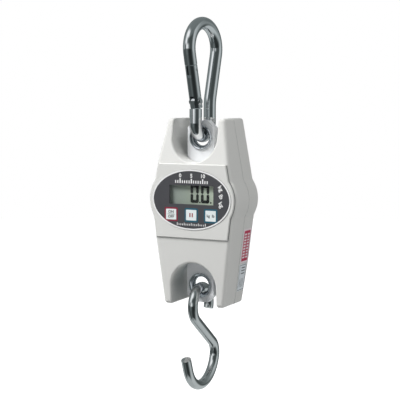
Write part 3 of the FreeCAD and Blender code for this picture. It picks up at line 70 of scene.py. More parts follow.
studio = {"aim": (0, 0, -115), "distance": 1000}
lamps = {"keyLamp": {"turn": -46, "lift": 46, "power": 11.6, "size": 320},
         "fillLamp": {"turn": 80, "lift": 42, "power": 4.0, "size": 700}}


def makeLamp(name, turn, lift, power, size):
    lampData = bpy.data.lights.new(name, "AREA")
    lampData.energy, lampData.size = power, size * mm
    lamp = bpy.data.objects.new(name, lampData)
    bpy.context.scene.collection.objects.link(lamp)
    away = aimAt(turn, lift)
    place = Matrix.Translation((Vector(studio["aim"]) + away * studio["distance"]) * mm)
    lamp.matrix_world = place @ (-away).to_track_quat("-Z", "Y").to_matrix().to_4x4()
    lamp.visible_glossy = False  # the steel shows the room instead


def addMath(tree, operation, second=None):
    node = tree.nodes.new("ShaderNodeMath")
    node.operation = operation
    if second is not None:
        node.inputs[1].default_value = second
    return node


def addRange(tree, low, high):  # spreads low to high over 0 to 1
    node = tree.nodes.new("ShaderNodeMapRange")
    node.inputs["From Min"].default_value, node.inputs["From Max"].default_value = low, high
    return node


def addMix(tree):
    node = tree.nodes.new("ShaderNodeMix")
    node.data_type = "RGBA"
    return node


def addRamp(tree, stops):
    ramp = tree.nodes.new("ShaderNodeValToRGB")
    while len(ramp.color_ramp.elements) < len(stops):
        ramp.color_ramp.elements.new(0.5)
    for element, (spot, colour) in zip(ramp.color_ramp.elements, stops):
        element.position, element.color = spot, colour
    return ramp


room = {"ambient": 0.17, "ambientTint": (0.97, 0.99, 1, 1), "shine": 1.35, "cool": 0.11, "coolBlue": 0.1}
# what the steel sees round the room: each level gives grey by angle from the camera's side, left is negative
roomLevels = [
    {"levels": None, "greys": [(-180, 168), (180, 168)]},
    {"levels": (-0.95, -0.82), "greys": [
        (-180, 172), (-115, 165), (-95, 85), (-70, 75), (-46, 95), (-28, 75), (-10, 45), (38, 50), (58, 130),
        (76, 180), (180, 180)]},
    {"levels": (-0.45, -0.28), "greys": [
        (-180, 130), (-135, 100), (-104, 75), (-70, 80), (-46, 110), (-28, 85), (-10, 42), (26, 40), (42, 55),
        (58, 105), (72, 165), (86, 165), (106, 130), (126, 85), (150, 70), (180, 130)]},
    {"levels": (-0.07, 0.0), "greys": [
        (-180, 130), (-135, 120), (-104, 130), (-84, 150), (-72, 84), (-60, 84), (-50, 238), (-34, 236), (-16, 176),
        (0, 100), (14, 72), (42, 72), (56, 100), (70, 192), (90, 180), (104, 155), (124, 105), (150, 75),
        (180, 130)]},
    {"levels": (0.12, 0.34), "greys": [
        (-180, 130), (-135, 110), (-104, 122), (-84, 165), (-68, 240), (-54, 240), (-40, 150), (-22, 92), (0, 72),
        (42, 72), (56, 100), (70, 185), (90, 170), (104, 140), (124, 105), (180, 120)]},
    {"levels": (0.5, 0.68), "greys": [
        (-180, 120), (-100, 130), (-76, 240), (-30, 240), (-8, 120), (20, 104), (60, 112), (180, 120)]},
    {"levels": (0.8, 0.95), "greys": [(-180, 116), (180, 116)]}]


def shade(grey):  # the darker, the cooler
    cool = room["cool"] * (1 - grey / 255)
    return tone(grey * (1 - cool), grey, grey * (1 - cool * room["coolBlue"]))


def makeWorld():  # plain white; only the steel sees the room's levels
    world = bpy.data.worlds.new("studio")
    bpy.context.scene.world = world
    world.use_nodes = True
    tree = world.node_tree
    tree.nodes.clear()
    link = tree.links.new
    place = tree.nodes.new("ShaderNodeTexCoord")
    turn = tree.nodes.new("ShaderNodeMapping")
    turn.inputs["Rotation"].default_value = (0, 0, math.radians(-shot["azimuth"]))
    parts = tree.nodes.new("ShaderNodeSeparateXYZ")
    back = addMath(tree, "MULTIPLY", -1)
    angle = addMath(tree, "ARCTAN2")
    spot = addRange(tree, -math.pi, math.pi)
    link(place.outputs["Generated"], turn.inputs["Vector"])
    link(turn.outputs[0], parts.inputs[0])
    link(parts.outputs["Y"], back.inputs[0])
    link(parts.outputs["X"], angle.inputs[0])
    link(back.outputs[0], angle.inputs[1])
    link(angle.outputs[0], spot.inputs["Value"])
    seenColour = None
    for level in roomLevels:
        ramp = addRamp(tree, [((degrees + 180) / 360, shade(grey)) for degrees, grey in level["greys"]])
        link(spot.outputs["Result"], ramp.inputs["Fac"])
        if seenColour is None:
            seenColour = ramp.outputs["Color"]
            continue
        lift = addRange(tree, *level["levels"])
        lift.interpolation_type = "SMOOTHSTEP"
        mix = addMix(tree)
        link(parts.outputs["Z"], lift.inputs["Value"])
        link(lift.outputs["Result"], mix.inputs["Factor"])
        link(seenColour, mix.inputs["A"])
        link(ramp.outputs["Color"], mix.inputs["B"])
        seenColour = mix.outputs["Result"]
    path = tree.nodes.new("ShaderNodeLightPath")
    shine = tree.nodes.new("ShaderNodeBackground")
    plain = tree.nodes.new("ShaderNodeBackground")
    ambient = tree.nodes.new("ShaderNodeBackground")
    plain.inputs["Color"].default_value = (1, 1, 1, 1)
    shine.inputs["Strength"].default_value = room["shine"]
    ambient.inputs["Color"].default_value = room["ambientTint"]
    ambient.inputs["Strength"].default_value = room["ambient"]
    seen = addMath(tree, "MAXIMUM")
    toPlain = tree.nodes.new("ShaderNodeMixShader")
    toShine = tree.nodes.new("ShaderNodeMixShader")
    out = tree.nodes.new("ShaderNodeOutputWorld")
    link(seenColour, shine.inputs["Color"])
    link(path.outputs["Is Camera Ray"], seen.inputs[0])
    link(path.outputs["Is Transmission Ray"], seen.inputs[1])
    link(seen.outputs[0], toPlain.inputs["Fac"])
    link(ambient.outputs[0], toPlain.inputs[1])
    link(plain.outputs[0], toPlain.inputs[2])
    link(path.outputs["Is Glossy Ray"], toShine.inputs["Fac"])
    link(toPlain.outputs[0], toShine.inputs[1])
    link(shine.outputs[0], toShine.inputs[2])
    link(toShine.outputs[0], out.inputs["Surface"])


floorSizes = {"height": -560, "radius": 4000, "segments": 96, "roughness": 0.9, "grainScale": 30,
              "pale": (0.84, 0.86), "glow": 1.1}


def makeFloor():
    bm = bmesh.new()
    bmesh.ops.create_circle(bm, cap_ends=True, segments=floorSizes["segments"], radius=floorSizes["radius"] * mm)
    bmesh.ops.translate(bm, verts=bm.verts, vec=(0, 0, floorSizes["height"] * mm))
    mesh = bpy.data.meshes.new("floor")
    bm.to_mesh(mesh)
    bm.free()
    floor = bpy.data.objects.new("floor", mesh)
    bpy.context.scene.collection.objects.link(floor)
    material = bpy.data.materials.new("floorPaint")
    material.use_nodes = True
    tree = material.node_tree
    link = tree.links.new
    paint = tree.nodes["Principled BSDF"]
    paint.inputs["Roughness"].default_value = floorSizes["roughness"]
    grain = tree.nodes.new("ShaderNodeTexNoise")
    grain.inputs["Scale"].default_value = floorSizes["grainScale"]
    pale = tree.nodes.new("ShaderNodeMapRange")
    pale.inputs["To Min"].default_value, pale.inputs["To Max"].default_value = floorSizes["pale"]
    path = tree.nodes.new("ShaderNodeLightPath")
    seen = addMath(tree, "MAXIMUM")
    white = tree.nodes.new("ShaderNodeEmission")
    white.inputs["Strength"].default_value = floorSizes["glow"]
    both = tree.nodes.new("ShaderNodeAddShader")
    pick = tree.nodes.new("ShaderNodeMixShader")
    link(grain.outputs["Fac"], pale.inputs["Value"])
    link(pale.outputs["Result"], paint.inputs["Base Color"])
    link(path.outputs["Is Camera Ray"], seen.inputs[0])
    link(path.outputs["Is Glossy Ray"], seen.inputs[1])
    link(paint.outputs[0], both.inputs[0])
    link(white.outputs[0], both.inputs[1])
    link(seen.outputs[0], pick.inputs["Fac"])
    link(paint.outputs[0], pick.inputs[1])
    link(both.outputs[0], pick.inputs[2])
    link(pick.outputs[0], tree.nodes["Material Output"].inputs["Surface"])
    mesh.materials.append(material)
    floor.visible_glossy = False  # the steel shows the room, below the object too


makeCamera()
for lampName, lampSizes in lamps.items():
    makeLamp(lampName, **lampSizes)
makeWorld()
makeFloor()
bpy.context.scene.view_settings.view_transform = "Standard"
print("camera, lamps and floor made")


def makeGroup(name, inputs, outputs):
    group = bpy.data.node_groups.new(name, "ShaderNodeTree")
    for socketName, kind, value in inputs:
        socket = group.interface.new_socket(name=socketName, in_out="INPUT", socket_type=kind)
        socket.default_value = value
    for socketName, kind in outputs:
        group.interface.new_socket(name=socketName, in_out="OUTPUT", socket_type=kind)
    return group, group.nodes.new("NodeGroupInput"), group.nodes.new("NodeGroupOutput")


grainLook = {"detail": 3, "broadScale": 45, "fineShare": 0.4, "broadShare": 0.6, "roughFrom": (0.3, 0.7),
             "depth": 0.05}


def makeGrain():  # fine mottling: two colours, a roughness band and a height
    group, inside, out = makeGroup(
        "surfaceGrain",
        [("Light", "NodeSocketColor", (1, 1, 1, 1)), ("Dark", "NodeSocketColor", (0, 0, 0, 1)),
         ("Scale", "NodeSocketFloat", 400), ("Stretch", "NodeSocketVector", (1, 1, 1)),
         ("Rough Low", "NodeSocketFloat", 0.3), ("Rough High", "NodeSocketFloat", 0.5)],
        [("Color", "NodeSocketColor"), ("Roughness", "NodeSocketFloat"), ("Height", "NodeSocketFloat")])
    place = group.nodes.new("ShaderNodeTexCoord")
    stretch = group.nodes.new("ShaderNodeMapping")
    fine = group.nodes.new("ShaderNodeTexNoise")
    fine.inputs["Detail"].default_value = grainLook["detail"]
    broad = group.nodes.new("ShaderNodeTexNoise")
    broad.inputs["Scale"].default_value = grainLook["broadScale"]
    mix = addMix(group)
    blend = addMath(group, "MULTIPLY_ADD", grainLook["fineShare"])
    weighed = addMath(group, "MULTIPLY", grainLook["broadShare"])
    rough = addRange(group, *grainLook["roughFrom"])
    link = group.links.new
    link(place.outputs["Object"], stretch.inputs["Vector"])
    link(inside.outputs["Stretch"], stretch.inputs["Scale"])
    link(stretch.outputs[0], fine.inputs["Vector"])
    link(inside.outputs["Scale"], fine.inputs["Scale"])
    link(place.outputs["Object"], broad.inputs["Vector"])
    link(broad.outputs["Fac"], weighed.inputs[0])
    link(fine.outputs["Fac"], blend.inputs[0])
    link(weighed.outputs[0], blend.inputs[2])
    link(blend.outputs[0], mix.inputs["Factor"])
    link(inside.outputs["Light"], mix.inputs["A"])
    link(inside.outputs["Dark"], mix.inputs["B"])
    link(blend.outputs[0], rough.inputs["Value"])
    link(inside.outputs["Rough Low"], rough.inputs["To Min"])
    link(inside.outputs["Rough High"], rough.inputs["To Max"])
    link(mix.outputs["Result"], out.inputs["Color"])
    link(rough.outputs["Result"], out.inputs["Roughness"])
    link(fine.outputs["Fac"], out.inputs["Height"])
    return group


grainGroup = makeGrain()


def addRelief(tree, strength):  # a shallow bump in front of the shader's Normal
    relief = tree.nodes.new("ShaderNodeBump")
    relief.inputs["Strength"].default_value = strength
    relief.inputs["Distance"].default_value = grainLook["depth"] * mm
    tree.links.new(relief.outputs["Normal"], tree.nodes["Principled BSDF"].inputs["Normal"])
    return relief


def grained(name, light, dark, scale, rough, bump, stretch=(1, 1, 1), **shader):
    material = bpy.data.materials.new(name)
    material.use_nodes = True
    tree = material.node_tree
    body = tree.nodes["Principled BSDF"]
    for socketName, value in shader.items():
        body.inputs[socketName].default_value = value
    grain = tree.nodes.new("ShaderNodeGroup")
    grain.node_tree = grainGroup
    grain.inputs["Light"].default_value, grain.inputs["Dark"].default_value = tone(*light), tone(*dark)
    grain.inputs["Scale"].default_value, grain.inputs["Stretch"].default_value = scale, stretch
    grain.inputs["Rough Low"].default_value, grain.inputs["Rough High"].default_value = rough
    relief = addRelief(tree, bump)
    tree.links.new(grain.outputs["Color"], body.inputs["Base Color"])
    tree.links.new(grain.outputs["Roughness"], body.inputs["Roughness"])
    tree.links.new(grain.outputs["Height"], relief.inputs["Height"])
    return material


# light and dark colour, scale of the grain, roughness band, bump, stretch of the grain
finishes = {
    "polished_steel": grained("polishedSteel", (226, 228, 230), (205, 208, 212), 300, (0.05, 0.10), 0.03,
                              (1, 1, 0.2), Metallic=1),
    "hook_steel": grained("hookSteel", (224, 225, 226), (200, 203, 206), 300, (0.07, 0.13), 0.04,
                          (1, 1, 0.2), Metallic=1),
    "bush_steel": grained("bushSteel", (226, 228, 232), (205, 210, 216), 500, (0.06, 0.12), 0.03, Metallic=1),
    "pin_steel": grained("pinSteel", (215, 216, 218), (190, 192, 196), 900, (0.14, 0.26), 0.08, Metallic=1),
    "spring_steel": grained("springSteel", (170, 170, 174), (140, 140, 146), 900, (0.2, 0.35), 0.1, Metallic=1),
    # load plate: its near-white, barely metallic colour is a painted reflection standing in for the steel's bright
    # sheen
    "plate_steel": grained("plateSteelPaintedReflection", (246, 247, 249), (236, 238, 241), 700, (0.34, 0.48), 0.25,
                           (6, 1, 0.08), Metallic=0.15),
    "case_plastic": grained("casePlastic", (226, 226, 223), (221, 221, 218), 2400, (0.42, 0.52), 0.35),
    "label_charcoal": grained("labelFilm", (78, 78, 82), (70, 70, 74), 3000, (0.36, 0.48), 0.25),
    "key_white": grained("keyCap", (240, 246, 246), (232, 240, 241), 2600, (0.34, 0.44), 0.2),
    "battery_jacket": grained("batteryJacket", (92, 104, 122), (80, 92, 110), 200, (0.2, 0.3), 0.05, Metallic=0.4),
    "contact_metal": grained("contactMetal", (214, 206, 180), (196, 188, 160), 800, (0.2, 0.34), 0.1, Metallic=1),
    "gauge_foil": grained("gaugeFoil", (214, 160, 92), (186, 132, 70), 1500, (0.3, 0.5), 0.2, (1, 1, 8)),
    "lead_jacket": grained("leadJacket", (46, 46, 48), (36, 36, 38), 1500, (0.5, 0.6), 0.2),
    "board_green": grained("boardGreen", (38, 104, 66), (30, 88, 54), 600, (0.3, 0.42), 0.15),
    "component_black": grained("componentBlack", (44, 44, 46), (34, 34, 36), 2500, (0.5, 0.65), 0.3),
    "screw_steel": grained("screwSteel", (150, 152, 156), (126, 128, 134), 900, (0.25, 0.4), 0.15, Metallic=1),
    "holder_plastic": grained("holderPlastic", (238, 238, 234), (230, 230, 226), 2000, (0.4, 0.5), 0.15),
    "strip_rubber": grained("stripRubber", (222, 178, 170), (206, 160, 152), 400, (0.6, 0.75), 0.2, (12, 1, 1)),
    "rim_white": grained("rimWhite", (246, 246, 246), (240, 240, 240), 2000, (0.35, 0.45), 0.1),
    "digit_ink": grained("digitInk", (16, 18, 16), (10, 12, 10), 2000, (0.4, 0.5), 0.05),
    "key_red": grained("keyRed", (150, 52, 72), (132, 40, 60), 2500, (0.4, 0.5), 0.1),
    "legend_grey": grained("legendGrey", (86, 92, 92), (74, 80, 80), 2000, (0.4, 0.5), 0.05),
    "legend_red": grained("legendRed", (168, 84, 88), (150, 70, 76), 2000, (0.4, 0.5), 0.05),
    "sticker_white": grained("stickerWhite", (246, 236, 240), (240, 228, 233), 1500, (0.3, 0.4), 0.05),
    "sticker_red": grained("stickerRed", (204, 62, 96), (190, 50, 84), 1500, (0.3, 0.4), 0.05),
    "sticker_pale": grained("stickerPale", (240, 246, 250), (230, 237, 243), 900, (0.3, 0.4), 0.05),
    # dark grey for the painted shade line at the pad's foot and for the real seam where the shells meet
    "shade_and_seam_dark": grained("shadeAndSeamDark", (112, 114, 114), (98, 100, 100), 900, (0.6, 0.75), 0.1),
    "key_teal": grained("keyTeal", (44, 104, 124), (32, 84, 104), 2500, (0.4, 0.5), 0.1),
    "window_clear": grained("windowClear", (150, 158, 154), (140, 148, 144), 200, (0.02, 0.05), 0.01, Alpha=0.035),
}


# painted shade of the lower notch: occlusion reach, its closed and open levels, the height band and the painted
# shade's colour
paintedHollowShade = {"reach": 16, "closed": 0.35, "open": 0.9, "top": -73.15, "foot": -79.15, "tone": (116, 127, 130)}


def paintHollowShade(material):  # painted shade: the case's colour is mixed towards a cool grey deep in its lower notch, where ambient occlusion finds it enclosed
    tree = material.node_tree
    base = tree.nodes["Principled BSDF"].inputs["Base Color"]
    grain = base.links[0].from_socket
    near = tree.nodes.new("ShaderNodeAmbientOcclusion")
    near.inputs["Distance"].default_value = paintedHollowShade["reach"] * mm
    place = tree.nodes.new("ShaderNodeTexCoord")
    parts = tree.nodes.new("ShaderNodeSeparateXYZ")
    openness = addRange(tree, paintedHollowShade["closed"], paintedHollowShade["open"])
    above = addRange(tree, (paintedHollowShade["foot"] + eye) * mm, (paintedHollowShade["top"] + eye) * mm)
    clear = addMath(tree, "MAXIMUM")
    mix = addMix(tree)
    # the cool grey of the painted shade
    mix.inputs["A"].default_value = tone(*paintedHollowShade["tone"])
    link = tree.links.new
    link(near.outputs["AO"], openness.inputs["Value"])
    link(place.outputs["Object"], parts.inputs[0])
    link(parts.outputs["Z"], above.inputs["Value"])
    link(openness.outputs["Result"], clear.inputs[0])
    link(above.outputs["Result"], clear.inputs[1])
    link(clear.outputs[0], mix.inputs["Factor"])
    link(grain, mix.inputs["B"])
    link(mix.outputs["Result"], base)


# display colours from left to right: painted shade on the left, painted light on the right
display = {"halfWidth": 15, "left": (146, 156, 150), "middle": (160, 171, 158), "right": (196, 209, 190),
           "middleAt": 0.45, "roughness": 0.22, "cloudScale": 160, "bump": 0.02}


def makeDisplay():  # liquid crystal of one colour with painted shade and light across it: greyer on the left, paler on the right
    material = bpy.data.materials.new("displayGlass")
    material.use_nodes = True
    tree = material.node_tree
    body = tree.nodes["Principled BSDF"]
    body.inputs["Roughness"].default_value = display["roughness"]
    place = tree.nodes.new("ShaderNodeTexCoord")
    parts = tree.nodes.new("ShaderNodeSeparateXYZ")
    across = addRange(tree, -display["halfWidth"] * mm, display["halfWidth"] * mm)
    ramp = addRamp(tree, [(0, tone(*display["left"])), (display["middleAt"], tone(*display["middle"])),
                          (1, tone(*display["right"]))])
    cloud = tree.nodes.new("ShaderNodeTexNoise")
    cloud.inputs["Scale"].default_value = display["cloudScale"]
    relief = addRelief(tree, display["bump"])
    link = tree.links.new
    link(place.outputs["Object"], parts.inputs[0])
    link(parts.outputs["X"], across.inputs["Value"])
    link(across.outputs["Result"], ramp.inputs["Fac"])
    link(ramp.outputs["Color"], body.inputs["Base Color"])
    link(place.outputs["Object"], cloud.inputs["Vector"])
    link(cloud.outputs["Fac"], relief.inputs["Height"])
    return material


paintHollowShade(finishes["case_plastic"])
finishes["display_glass"] = makeDisplay()

for part in frame["record"]["subparts"]:
    node = nodes[part["node"]]
    node.data.materials.clear()
    node.data.materials.append(finishes[part["material_slot"]])
print("finishes made:", len(finishes))


def onFront(x, z, y):  # drawn flat on a face at y: x to the right, z up from the eye, out of the face
    turn = Matrix(((1, 0, 0, 0), (0, 0, -1, 0), (0, 1, 0, 0), (0, 0, 0, 1)))
    return Matrix.Scale(mm, 4) @ Matrix.Translation((x, y, z + eye)) @ turn


def finishPiece(name, bm, place, material, body):
    bm.transform(place)
    bmesh.ops.remove_doubles(bm, verts=bm.verts, dist=1e-8)
    bmesh.ops.recalc_face_normals(bm, faces=bm.faces)
    mesh = bpy.data.meshes.new(name)
    bm.to_mesh(mesh)
    bm.free()
    mesh.materials.append(material)
    piece = bpy.data.objects.new(name, mesh)
    bpy.context.scene.collection.objects.link(piece)
    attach(piece, body)


def joinTo(bm, fresh):
    scrap = bpy.data.meshes.new("scrap")
    fresh.to_mesh(scrap)
    fresh.free()
    bm.from_mesh(scrap)
    bpy.data.meshes.remove(scrap)


def roundEdges(bm, edges, size, segments):
    bmesh.ops.bevel(bm, geom=edges, offset=size, offset_type="OFFSET", affect="EDGES", segments=segments,
                    profile=0.5, material=-1)


def addBlock(bm, x, y, width, height, thick, corner, segments, lift):  # its upright edges are cut or rounded
    fresh = bmesh.new()
    bmesh.ops.create_cube(fresh, size=1)
    bmesh.ops.scale(fresh, verts=fresh.verts, vec=(width, height, thick))
    upright = [edge for edge in fresh.edges if edge.verts[0].co.xy == edge.verts[1].co.xy]
    roundEdges(fresh, upright, corner, segments)
    bmesh.ops.translate(fresh, verts=fresh.verts, vec=(x, y, lift + thick / 2))
    joinTo(bm, fresh)


def addPlate(bm, x, y, width, height, thick, corner, lift=0.0):  # thin plate with round corners
    addBlock(bm, x, y, width, height, thick, corner, 4, lift)


def openRing(fresh, band):  # a prism's two caps are inset and joined, which leaves a ring
    caps = [face for face in fresh.faces if abs(face.normal.z) > 0.99]
    bmesh.ops.inset_individual(fresh, faces=caps, thickness=band, use_even_offset=True)
    rims = [edge for face in caps for edge in face.edges]
    bmesh.ops.delete(fresh, geom=caps, context="FACES_ONLY")
    bmesh.ops.bridge_loops(fresh, edges=rims)


def addFrame(bm, width, height, band, thick, corner):
    fresh = bmesh.new()
    addPlate(fresh, 0, 0, width, height, thick, corner)
    openRing(fresh, band)
    joinTo(bm, fresh)


# half the case's width at heights from the eye; the bulge is an arc with its middle and radius
outline = {"top": (12.4, 20.2), "bulgeTop": (-27, 27.5), "bulge": (10.56, -39.41, 21), "bulgeFoot": (-50, 28.7),
           "foot": (-108, 21.5), "padTop": -16.8, "padFoot": -64, "padInset": 1.6}


def halfAt(z):
    if outline["bulgeFoot"][0] <= z <= outline["bulgeTop"][0]:
        x, middle, radius = outline["bulge"]
        return x + math.sqrt(radius ** 2 - (z - middle) ** 2)
    ends = ("top", "bulgeTop") if z > outline["bulgeTop"][0] else ("bulgeFoot", "foot")
    (high, first), (low, last) = (outline[end] for end in ends)
    return first + (last - first) * (high - z) / (high - low)


def addBead(bm, points, radius, sides):  # thin round line through flat points (x, y, lift)
    rings = []
    for index, place in enumerate(points):
        before, after = points[max(index - 1, 0)], points[min(index + 1, len(points) - 1)]
        heading = Vector((after[0] - before[0], after[1] - before[1], 0))
        turn = heading.to_track_quat("Z", "Y").to_matrix().to_4x4()
        ring = bmesh.ops.create_circle(bm, segments=sides, radius=radius, matrix=Matrix.Translation(place) @ turn)
        rings.append(list(dict.fromkeys(edge for vert in ring["verts"] for edge in vert.link_edges)))
    for ring, after in zip(rings, rings[1:]):
        bmesh.ops.bridge_loops(bm, edges=ring + after)
    for ring in (rings[0], rings[-1]):
        bmesh.ops.edgeloop_fill(bm, edges=ring)


# sizes of the painted shade line round the pad's foot and of the seam lines where the shells meet
gap = {"sides": 6, "step": 2, "face": -15.2, "lift": -0.12, "radius": 0.24, "out": 0.1, "padSteps": 24,
       "seam": 3.6, "seamTop": 11, "seamSteps": 60, "seamIn": 0.36, "seamRadius": 0.26}


def makePadShadeAndSeamLines():  # painted shade: the dark line round the pad's foot stands in for the step's shadow; the other dark line marks where the shells meet
    heights = [outline["padTop"] - index * gap["step"] for index in range(gap["padSteps"])]
    heights.append(outline["padFoot"] - gap["out"])
    inset = outline["padInset"] - gap["out"]
    right = [(halfAt(z) - inset, z, gap["lift"]) for z in heights]
    bm = bmesh.new()
    addBead(bm, [(-x, z, lift) for x, z, lift in right] + right[::-1], gap["radius"], gap["sides"])
    finishPiece("padShadeLine", bm, onFront(0, 0, gap["face"]), finishes["shade_and_seam_dark"], "case")
    heights = [gap["seamTop"] - index * gap["step"] for index in range(gap["seamSteps"])]
    bm = bmesh.new()
    for side in (-1, 1):
        line = [(side * (halfAt(z) - gap["seamIn"]), z, 0) for z in heights]
        addBead(bm, line, gap["seamRadius"], gap["sides"])
    finishPiece("seamGap", bm, onFront(0, 0, gap["seam"]), finishes["shade_and_seam_dark"], "case")


label = {"face": -16.4, "centre": -39.2, "halfWidth": 27.8, "halfHeight": 19.3, "rimWidth": 0.95, "rimRise": 0.10,
         "rimSoft": 0.06, "segments": 160}


def makeRim():  # white edge of the label, slightly crowned
    bm = bmesh.new()
    bmesh.ops.create_circle(bm, cap_ends=True, segments=label["segments"], radius=1)
    bmesh.ops.scale(bm, verts=bm.verts, vec=(label["halfWidth"], label["halfHeight"], 1))
    raised = bmesh.ops.extrude_face_region(bm, geom=bm.faces[:])["geom"]
    bmesh.ops.translate(bm, verts=[item for item in raised if isinstance(item, bmesh.types.BMVert)],
                        vec=(0, 0, label["rimRise"]))
    bm.normal_update()
    openRing(bm, label["rimWidth"])
    bm.normal_update()
    middle = label["rimRise"] / 2
    crown = [edge for edge in bm.edges if all(vert.co.z > middle for vert in edge.verts)
             and min(face.normal.z for face in edge.link_faces) < 0.5]
    roundEdges(bm, crown, label["rimSoft"], 2)
    for face in bm.faces:
        face.smooth = True
    finishPiece("labelRim", bm, onFront(0, label["centre"], label["face"]), finishes["rim_white"], "case")


printThick = 0.03  # all printing stands this far above its face
digits = {"face": -14.1, "lefts": (-1.5, 5.9), "width": 5.9, "foot": -41.2, "height": 11.7, "stroke": 1.95,
          "gap": 0.1, "clip": 0.7, "dots": (5.15, 12.8), "dotSize": 1.0, "dotCorner": 0.15}


def addSegment(bm, x, y, width, height):
    addBlock(bm, x, y, width, height, printThick, digits["clip"], 1, 0)


def makeDigits():  # two noughts and two points, as bars with clipped ends
    stroke, gapSize, dot = digits["stroke"], digits["gap"], digits["dotSize"]
    inner, half = stroke / 2, digits["height"] / 2
    bm = bmesh.new()
    for left in digits["lefts"]:
        for x in (left + inner, left + digits["width"] - inner):
            for y in (half / 2, half * 1.5):
                addSegment(bm, x, y, stroke, half - gapSize * 2)
        for y in (inner, digits["height"] - inner):
            addSegment(bm, left + digits["width"] / 2, y, digits["width"] - gapSize * 4, stroke)
    for x in digits["dots"]:
        addPlate(bm, x, dot / 2, dot, dot, printThick, digits["dotCorner"])
    finishPiece("displayDigits", bm, onFront(0, digits["foot"], digits["face"]), finishes["digit_ink"], "case")


keys = {"row": -48.85, "places": {"power_key": -14.2, "hold_key": 0.2, "unit_key": 13.9}, "width": 7.3,
        "height": 6.8, "band": 1.05, "frameCorner": 0.9, "face": -16.6}


def makeKeyFrames():
    for key, x in keys["places"].items():
        bm = bmesh.new()
        reach = 2 * keys["band"]
        addFrame(bm, keys["width"] + reach, keys["height"] + reach, keys["band"], printThick, keys["frameCorner"])
        ink = "key_red" if key == "power_key" else "key_teal"
        finishPiece(key.replace("_key", "KeyFrame"), bm, onFront(x, keys["row"], label["face"]), finishes[ink],
                    "case")


def addText(bm, words, x, y, size, bold, turn=0.0):  # plain type as a thin raised print
    curve = bpy.data.curves.new("words", "FONT")
    curve.body, curve.size, curve.extrude = words, size, printThick / 2
    curve.align_x, curve.align_y, curve.offset = "CENTER", "CENTER", bold
    curve.resolution_u = 3
    typed = bpy.data.objects.new("words", curve)
    bpy.context.scene.collection.objects.link(typed)
    bpy.context.view_layer.update()
    shape = bpy.data.meshes.new_from_object(typed.evaluated_get(bpy.context.evaluated_depsgraph_get()))
    shape.transform(Matrix.Translation((x, y, printThick / 2)) @ Matrix.Rotation(math.radians(turn), 4, "Z"))
    bm.from_mesh(shape)
    bpy.data.objects.remove(typed)
    bpy.data.curves.remove(curve)
    bpy.data.meshes.remove(shape)


ticks = {"foot": -28.7, "step": 1.6, "count": 15, "every": 5, "firstMain": 2, "tall": 3.0, "short": 1.9,
         "width": 0.72, "mainWidth": 0.9, "corner": 0.08, "centre": 0.2,
         "numbers": ("0", "5", "10"), "numberLift": 1.75, "numberSize": 3.4, "numberBold": 0.09}
units = {"words": (("kg", 20.6, -31.2), ("lb", 21.0, -36.4), ("kg", 21.0, -41.4)), "size": 3.9, "turn": -58,
         "bold": 0.1}
fineRow = {"foot": -55.6, "step": 1.25, "count": 17, "every": 4, "tall": 1.65, "short": 1.1, "width": 0.45,
           "corner": 0.06}


def makePrint():  # a plain scale above the display, the units beside it and a fine row of marks below the keys
    bm = bmesh.new()
    start = ticks["centre"] - ticks["step"] * (ticks["count"] - 1) / 2
    for tick in range(ticks["count"]):
        isMain = tick % ticks["every"] == ticks["firstMain"]
        tall, width = (ticks["tall"], ticks["mainWidth"]) if isMain else (ticks["short"], ticks["width"])
        x = start + tick * ticks["step"]
        addPlate(bm, x, ticks["foot"] + tall / 2, width, tall, printThick, ticks["corner"])
        if isMain:
            addText(bm, ticks["numbers"][tick // ticks["every"]], x, ticks["foot"] + tall + ticks["numberLift"],
                    ticks["numberSize"], ticks["numberBold"])
    for words, x, y in units["words"]:
        addText(bm, words, x, y, units["size"], units["bold"], units["turn"])
    start = ticks["centre"] - fineRow["step"] * (fineRow["count"] - 1) / 2
    for tick in range(fineRow["count"]):
        tall = fineRow["short"] if tick % fineRow["every"] else fineRow["tall"]
        addPlate(bm, start + tick * fineRow["step"], fineRow["foot"] + tall / 2, fineRow["width"], tall,
                 printThick, fineRow["corner"])
    finishPiece("labelPrint", bm, onFront(0, 0, label["face"]), finishes["rim_white"], "case")


legends = {"size": 2.5, "bold": 0.06, "wordLift": 1.55, "corner": 0.1, "dash": (5.2, 0.3), "dashLift": 0.05,
           "pause": (0.85, 2.6), "pauseApart": 0.85}


def finishLegend(key, bm, ink):
    place = onFront(keys["places"][key], keys["row"], keys["face"])
    finishPiece(key.replace("_key", "KeyLegend"), bm, place, finishes[ink], key)


def makeLegends():  # switch words, a pause sign and the two units
    size, bold, corner = legends["size"], legends["bold"], legends["corner"]
    bm = bmesh.new()
    addText(bm, "ON", 0, legends["wordLift"], size, bold)
    addPlate(bm, 0, legends["dashLift"], *legends["dash"], printThick, corner)
    addText(bm, "OFF", 0, -legends["wordLift"], size, bold)
    finishLegend("power_key", bm, "legend_grey")
    bm = bmesh.new()
    for side in (-1, 1):
        addPlate(bm, side * legends["pauseApart"], 0, *legends["pause"], printThick, corner)
    finishLegend("hold_key", bm, "legend_red")
    bm = bmesh.new()
    addText(bm, "kg  lb", 0, 0, size, bold)
    finishLegend("unit_key", bm, "legend_grey")


stickers = {"thick": 0.08, "corner": 0.7, "front": 4.6, "margin": 1.25, "markCorner": 0.1,
            "red": {"back": 16.6, "top": -58.6, "foot": -81.2}, "pale": {"back": 15.0, "top": -81.8, "foot": -99.6}}
redMarks = {"rows": 9, "top": 7.6, "step": 1.9, "height": 1.15, "columns": ((-2.2, 3.4), (2.3, 2.9))}
paleMarks = {"inset": 1, "line": 0.3, "corner": 0.4, "count": 3, "rowsAt": (0.8, 6.4), "rowStep": 1.9,
             "row": (5.2, 0.6), "columnsAt": (-2.3, -3.6), "columnStep": 2.1, "column": (0.5, 5.6)}


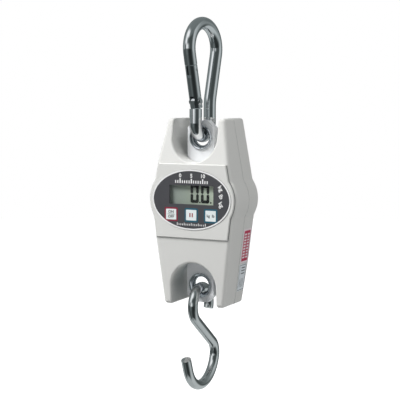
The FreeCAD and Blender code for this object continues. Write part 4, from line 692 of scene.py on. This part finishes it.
def onFlank(y, z):  # place of a drawing on the right flank below the bulge: x to the back, y up, z out
    (top, halfTop), (foot, halfFoot) = outline["bulgeFoot"], outline["foot"]
    lean = math.atan2(halfTop - halfFoot, top - foot)
    half = halfFoot + (z - foot) * math.tan(lean)
    turn = Matrix(((0, math.sin(lean), math.cos(lean), 0), (1, 0, 0, 0), (0, math.cos(lean), -math.sin(lean), 0),
                   (0, 0, 0, 1)))
    return Matrix.Scale(mm, 4) @ Matrix.Translation((half, y, z + eye)) @ turn


def stickerField(name):  # its place, width and height
    edges, front = stickers[name], stickers["front"]
    place = onFlank((edges["back"] + front) / 2, (edges["top"] + edges["foot"]) / 2)
    return place, edges["back"] - front, edges["top"] - edges["foot"]


def makeStickers():
    thick, corner, markCorner = stickers["thick"], stickers["corner"], stickers["markCorner"]
    place, wide, tall = stickerField("red")
    bm = bmesh.new()
    addPlate(bm, 0, 0, wide, tall, thick, corner)
    finishPiece("redStickerEdge", bm, place, finishes["sticker_white"], "case")
    bm = bmesh.new()
    addPlate(bm, 0, 0, wide - 2 * stickers["margin"], tall - 2 * stickers["margin"], thick / 2, corner, thick)
    finishPiece("redStickerField", bm, place, finishes["sticker_red"], "case")
    bm = bmesh.new()
    for row in range(redMarks["rows"]):  # plain marks in two columns
        for x, size in redMarks["columns"]:
            addPlate(bm, x, redMarks["top"] - row * redMarks["step"], size, redMarks["height"], thick / 2,
                     markCorner, thick * 1.5)
    finishPiece("redStickerMarks", bm, place, finishes["sticker_white"], "case")
    place, wide, tall = stickerField("pale")
    bm = bmesh.new()
    addPlate(bm, 0, 0, wide, tall, thick, corner)
    finishPiece("paleSticker", bm, place, finishes["sticker_pale"], "case")
    bm = bmesh.new()
    addFrame(bm, wide - paleMarks["inset"], tall - paleMarks["inset"], paleMarks["line"], thick * 1.5,
             paleMarks["corner"])
    x, y = paleMarks["rowsAt"]
    for index in range(paleMarks["count"]):
        addPlate(bm, x, y - index * paleMarks["rowStep"], *paleMarks["row"], thick / 2, markCorner, thick)
    x, y = paleMarks["columnsAt"]
    for index in range(paleMarks["count"]):
        addPlate(bm, x + index * paleMarks["columnStep"], y, *paleMarks["column"], thick / 2, markCorner, thick)
    finishPiece("paleStickerMarks", bm, place, finishes["legend_grey"], "case")


makePadShadeAndSeamLines()
makeRim()
makeDigits()
makeKeyFrames()
makePrint()
makeLegends()
print("label, digits and keys dressed")
makeStickers()
print("stickers on the flank made")
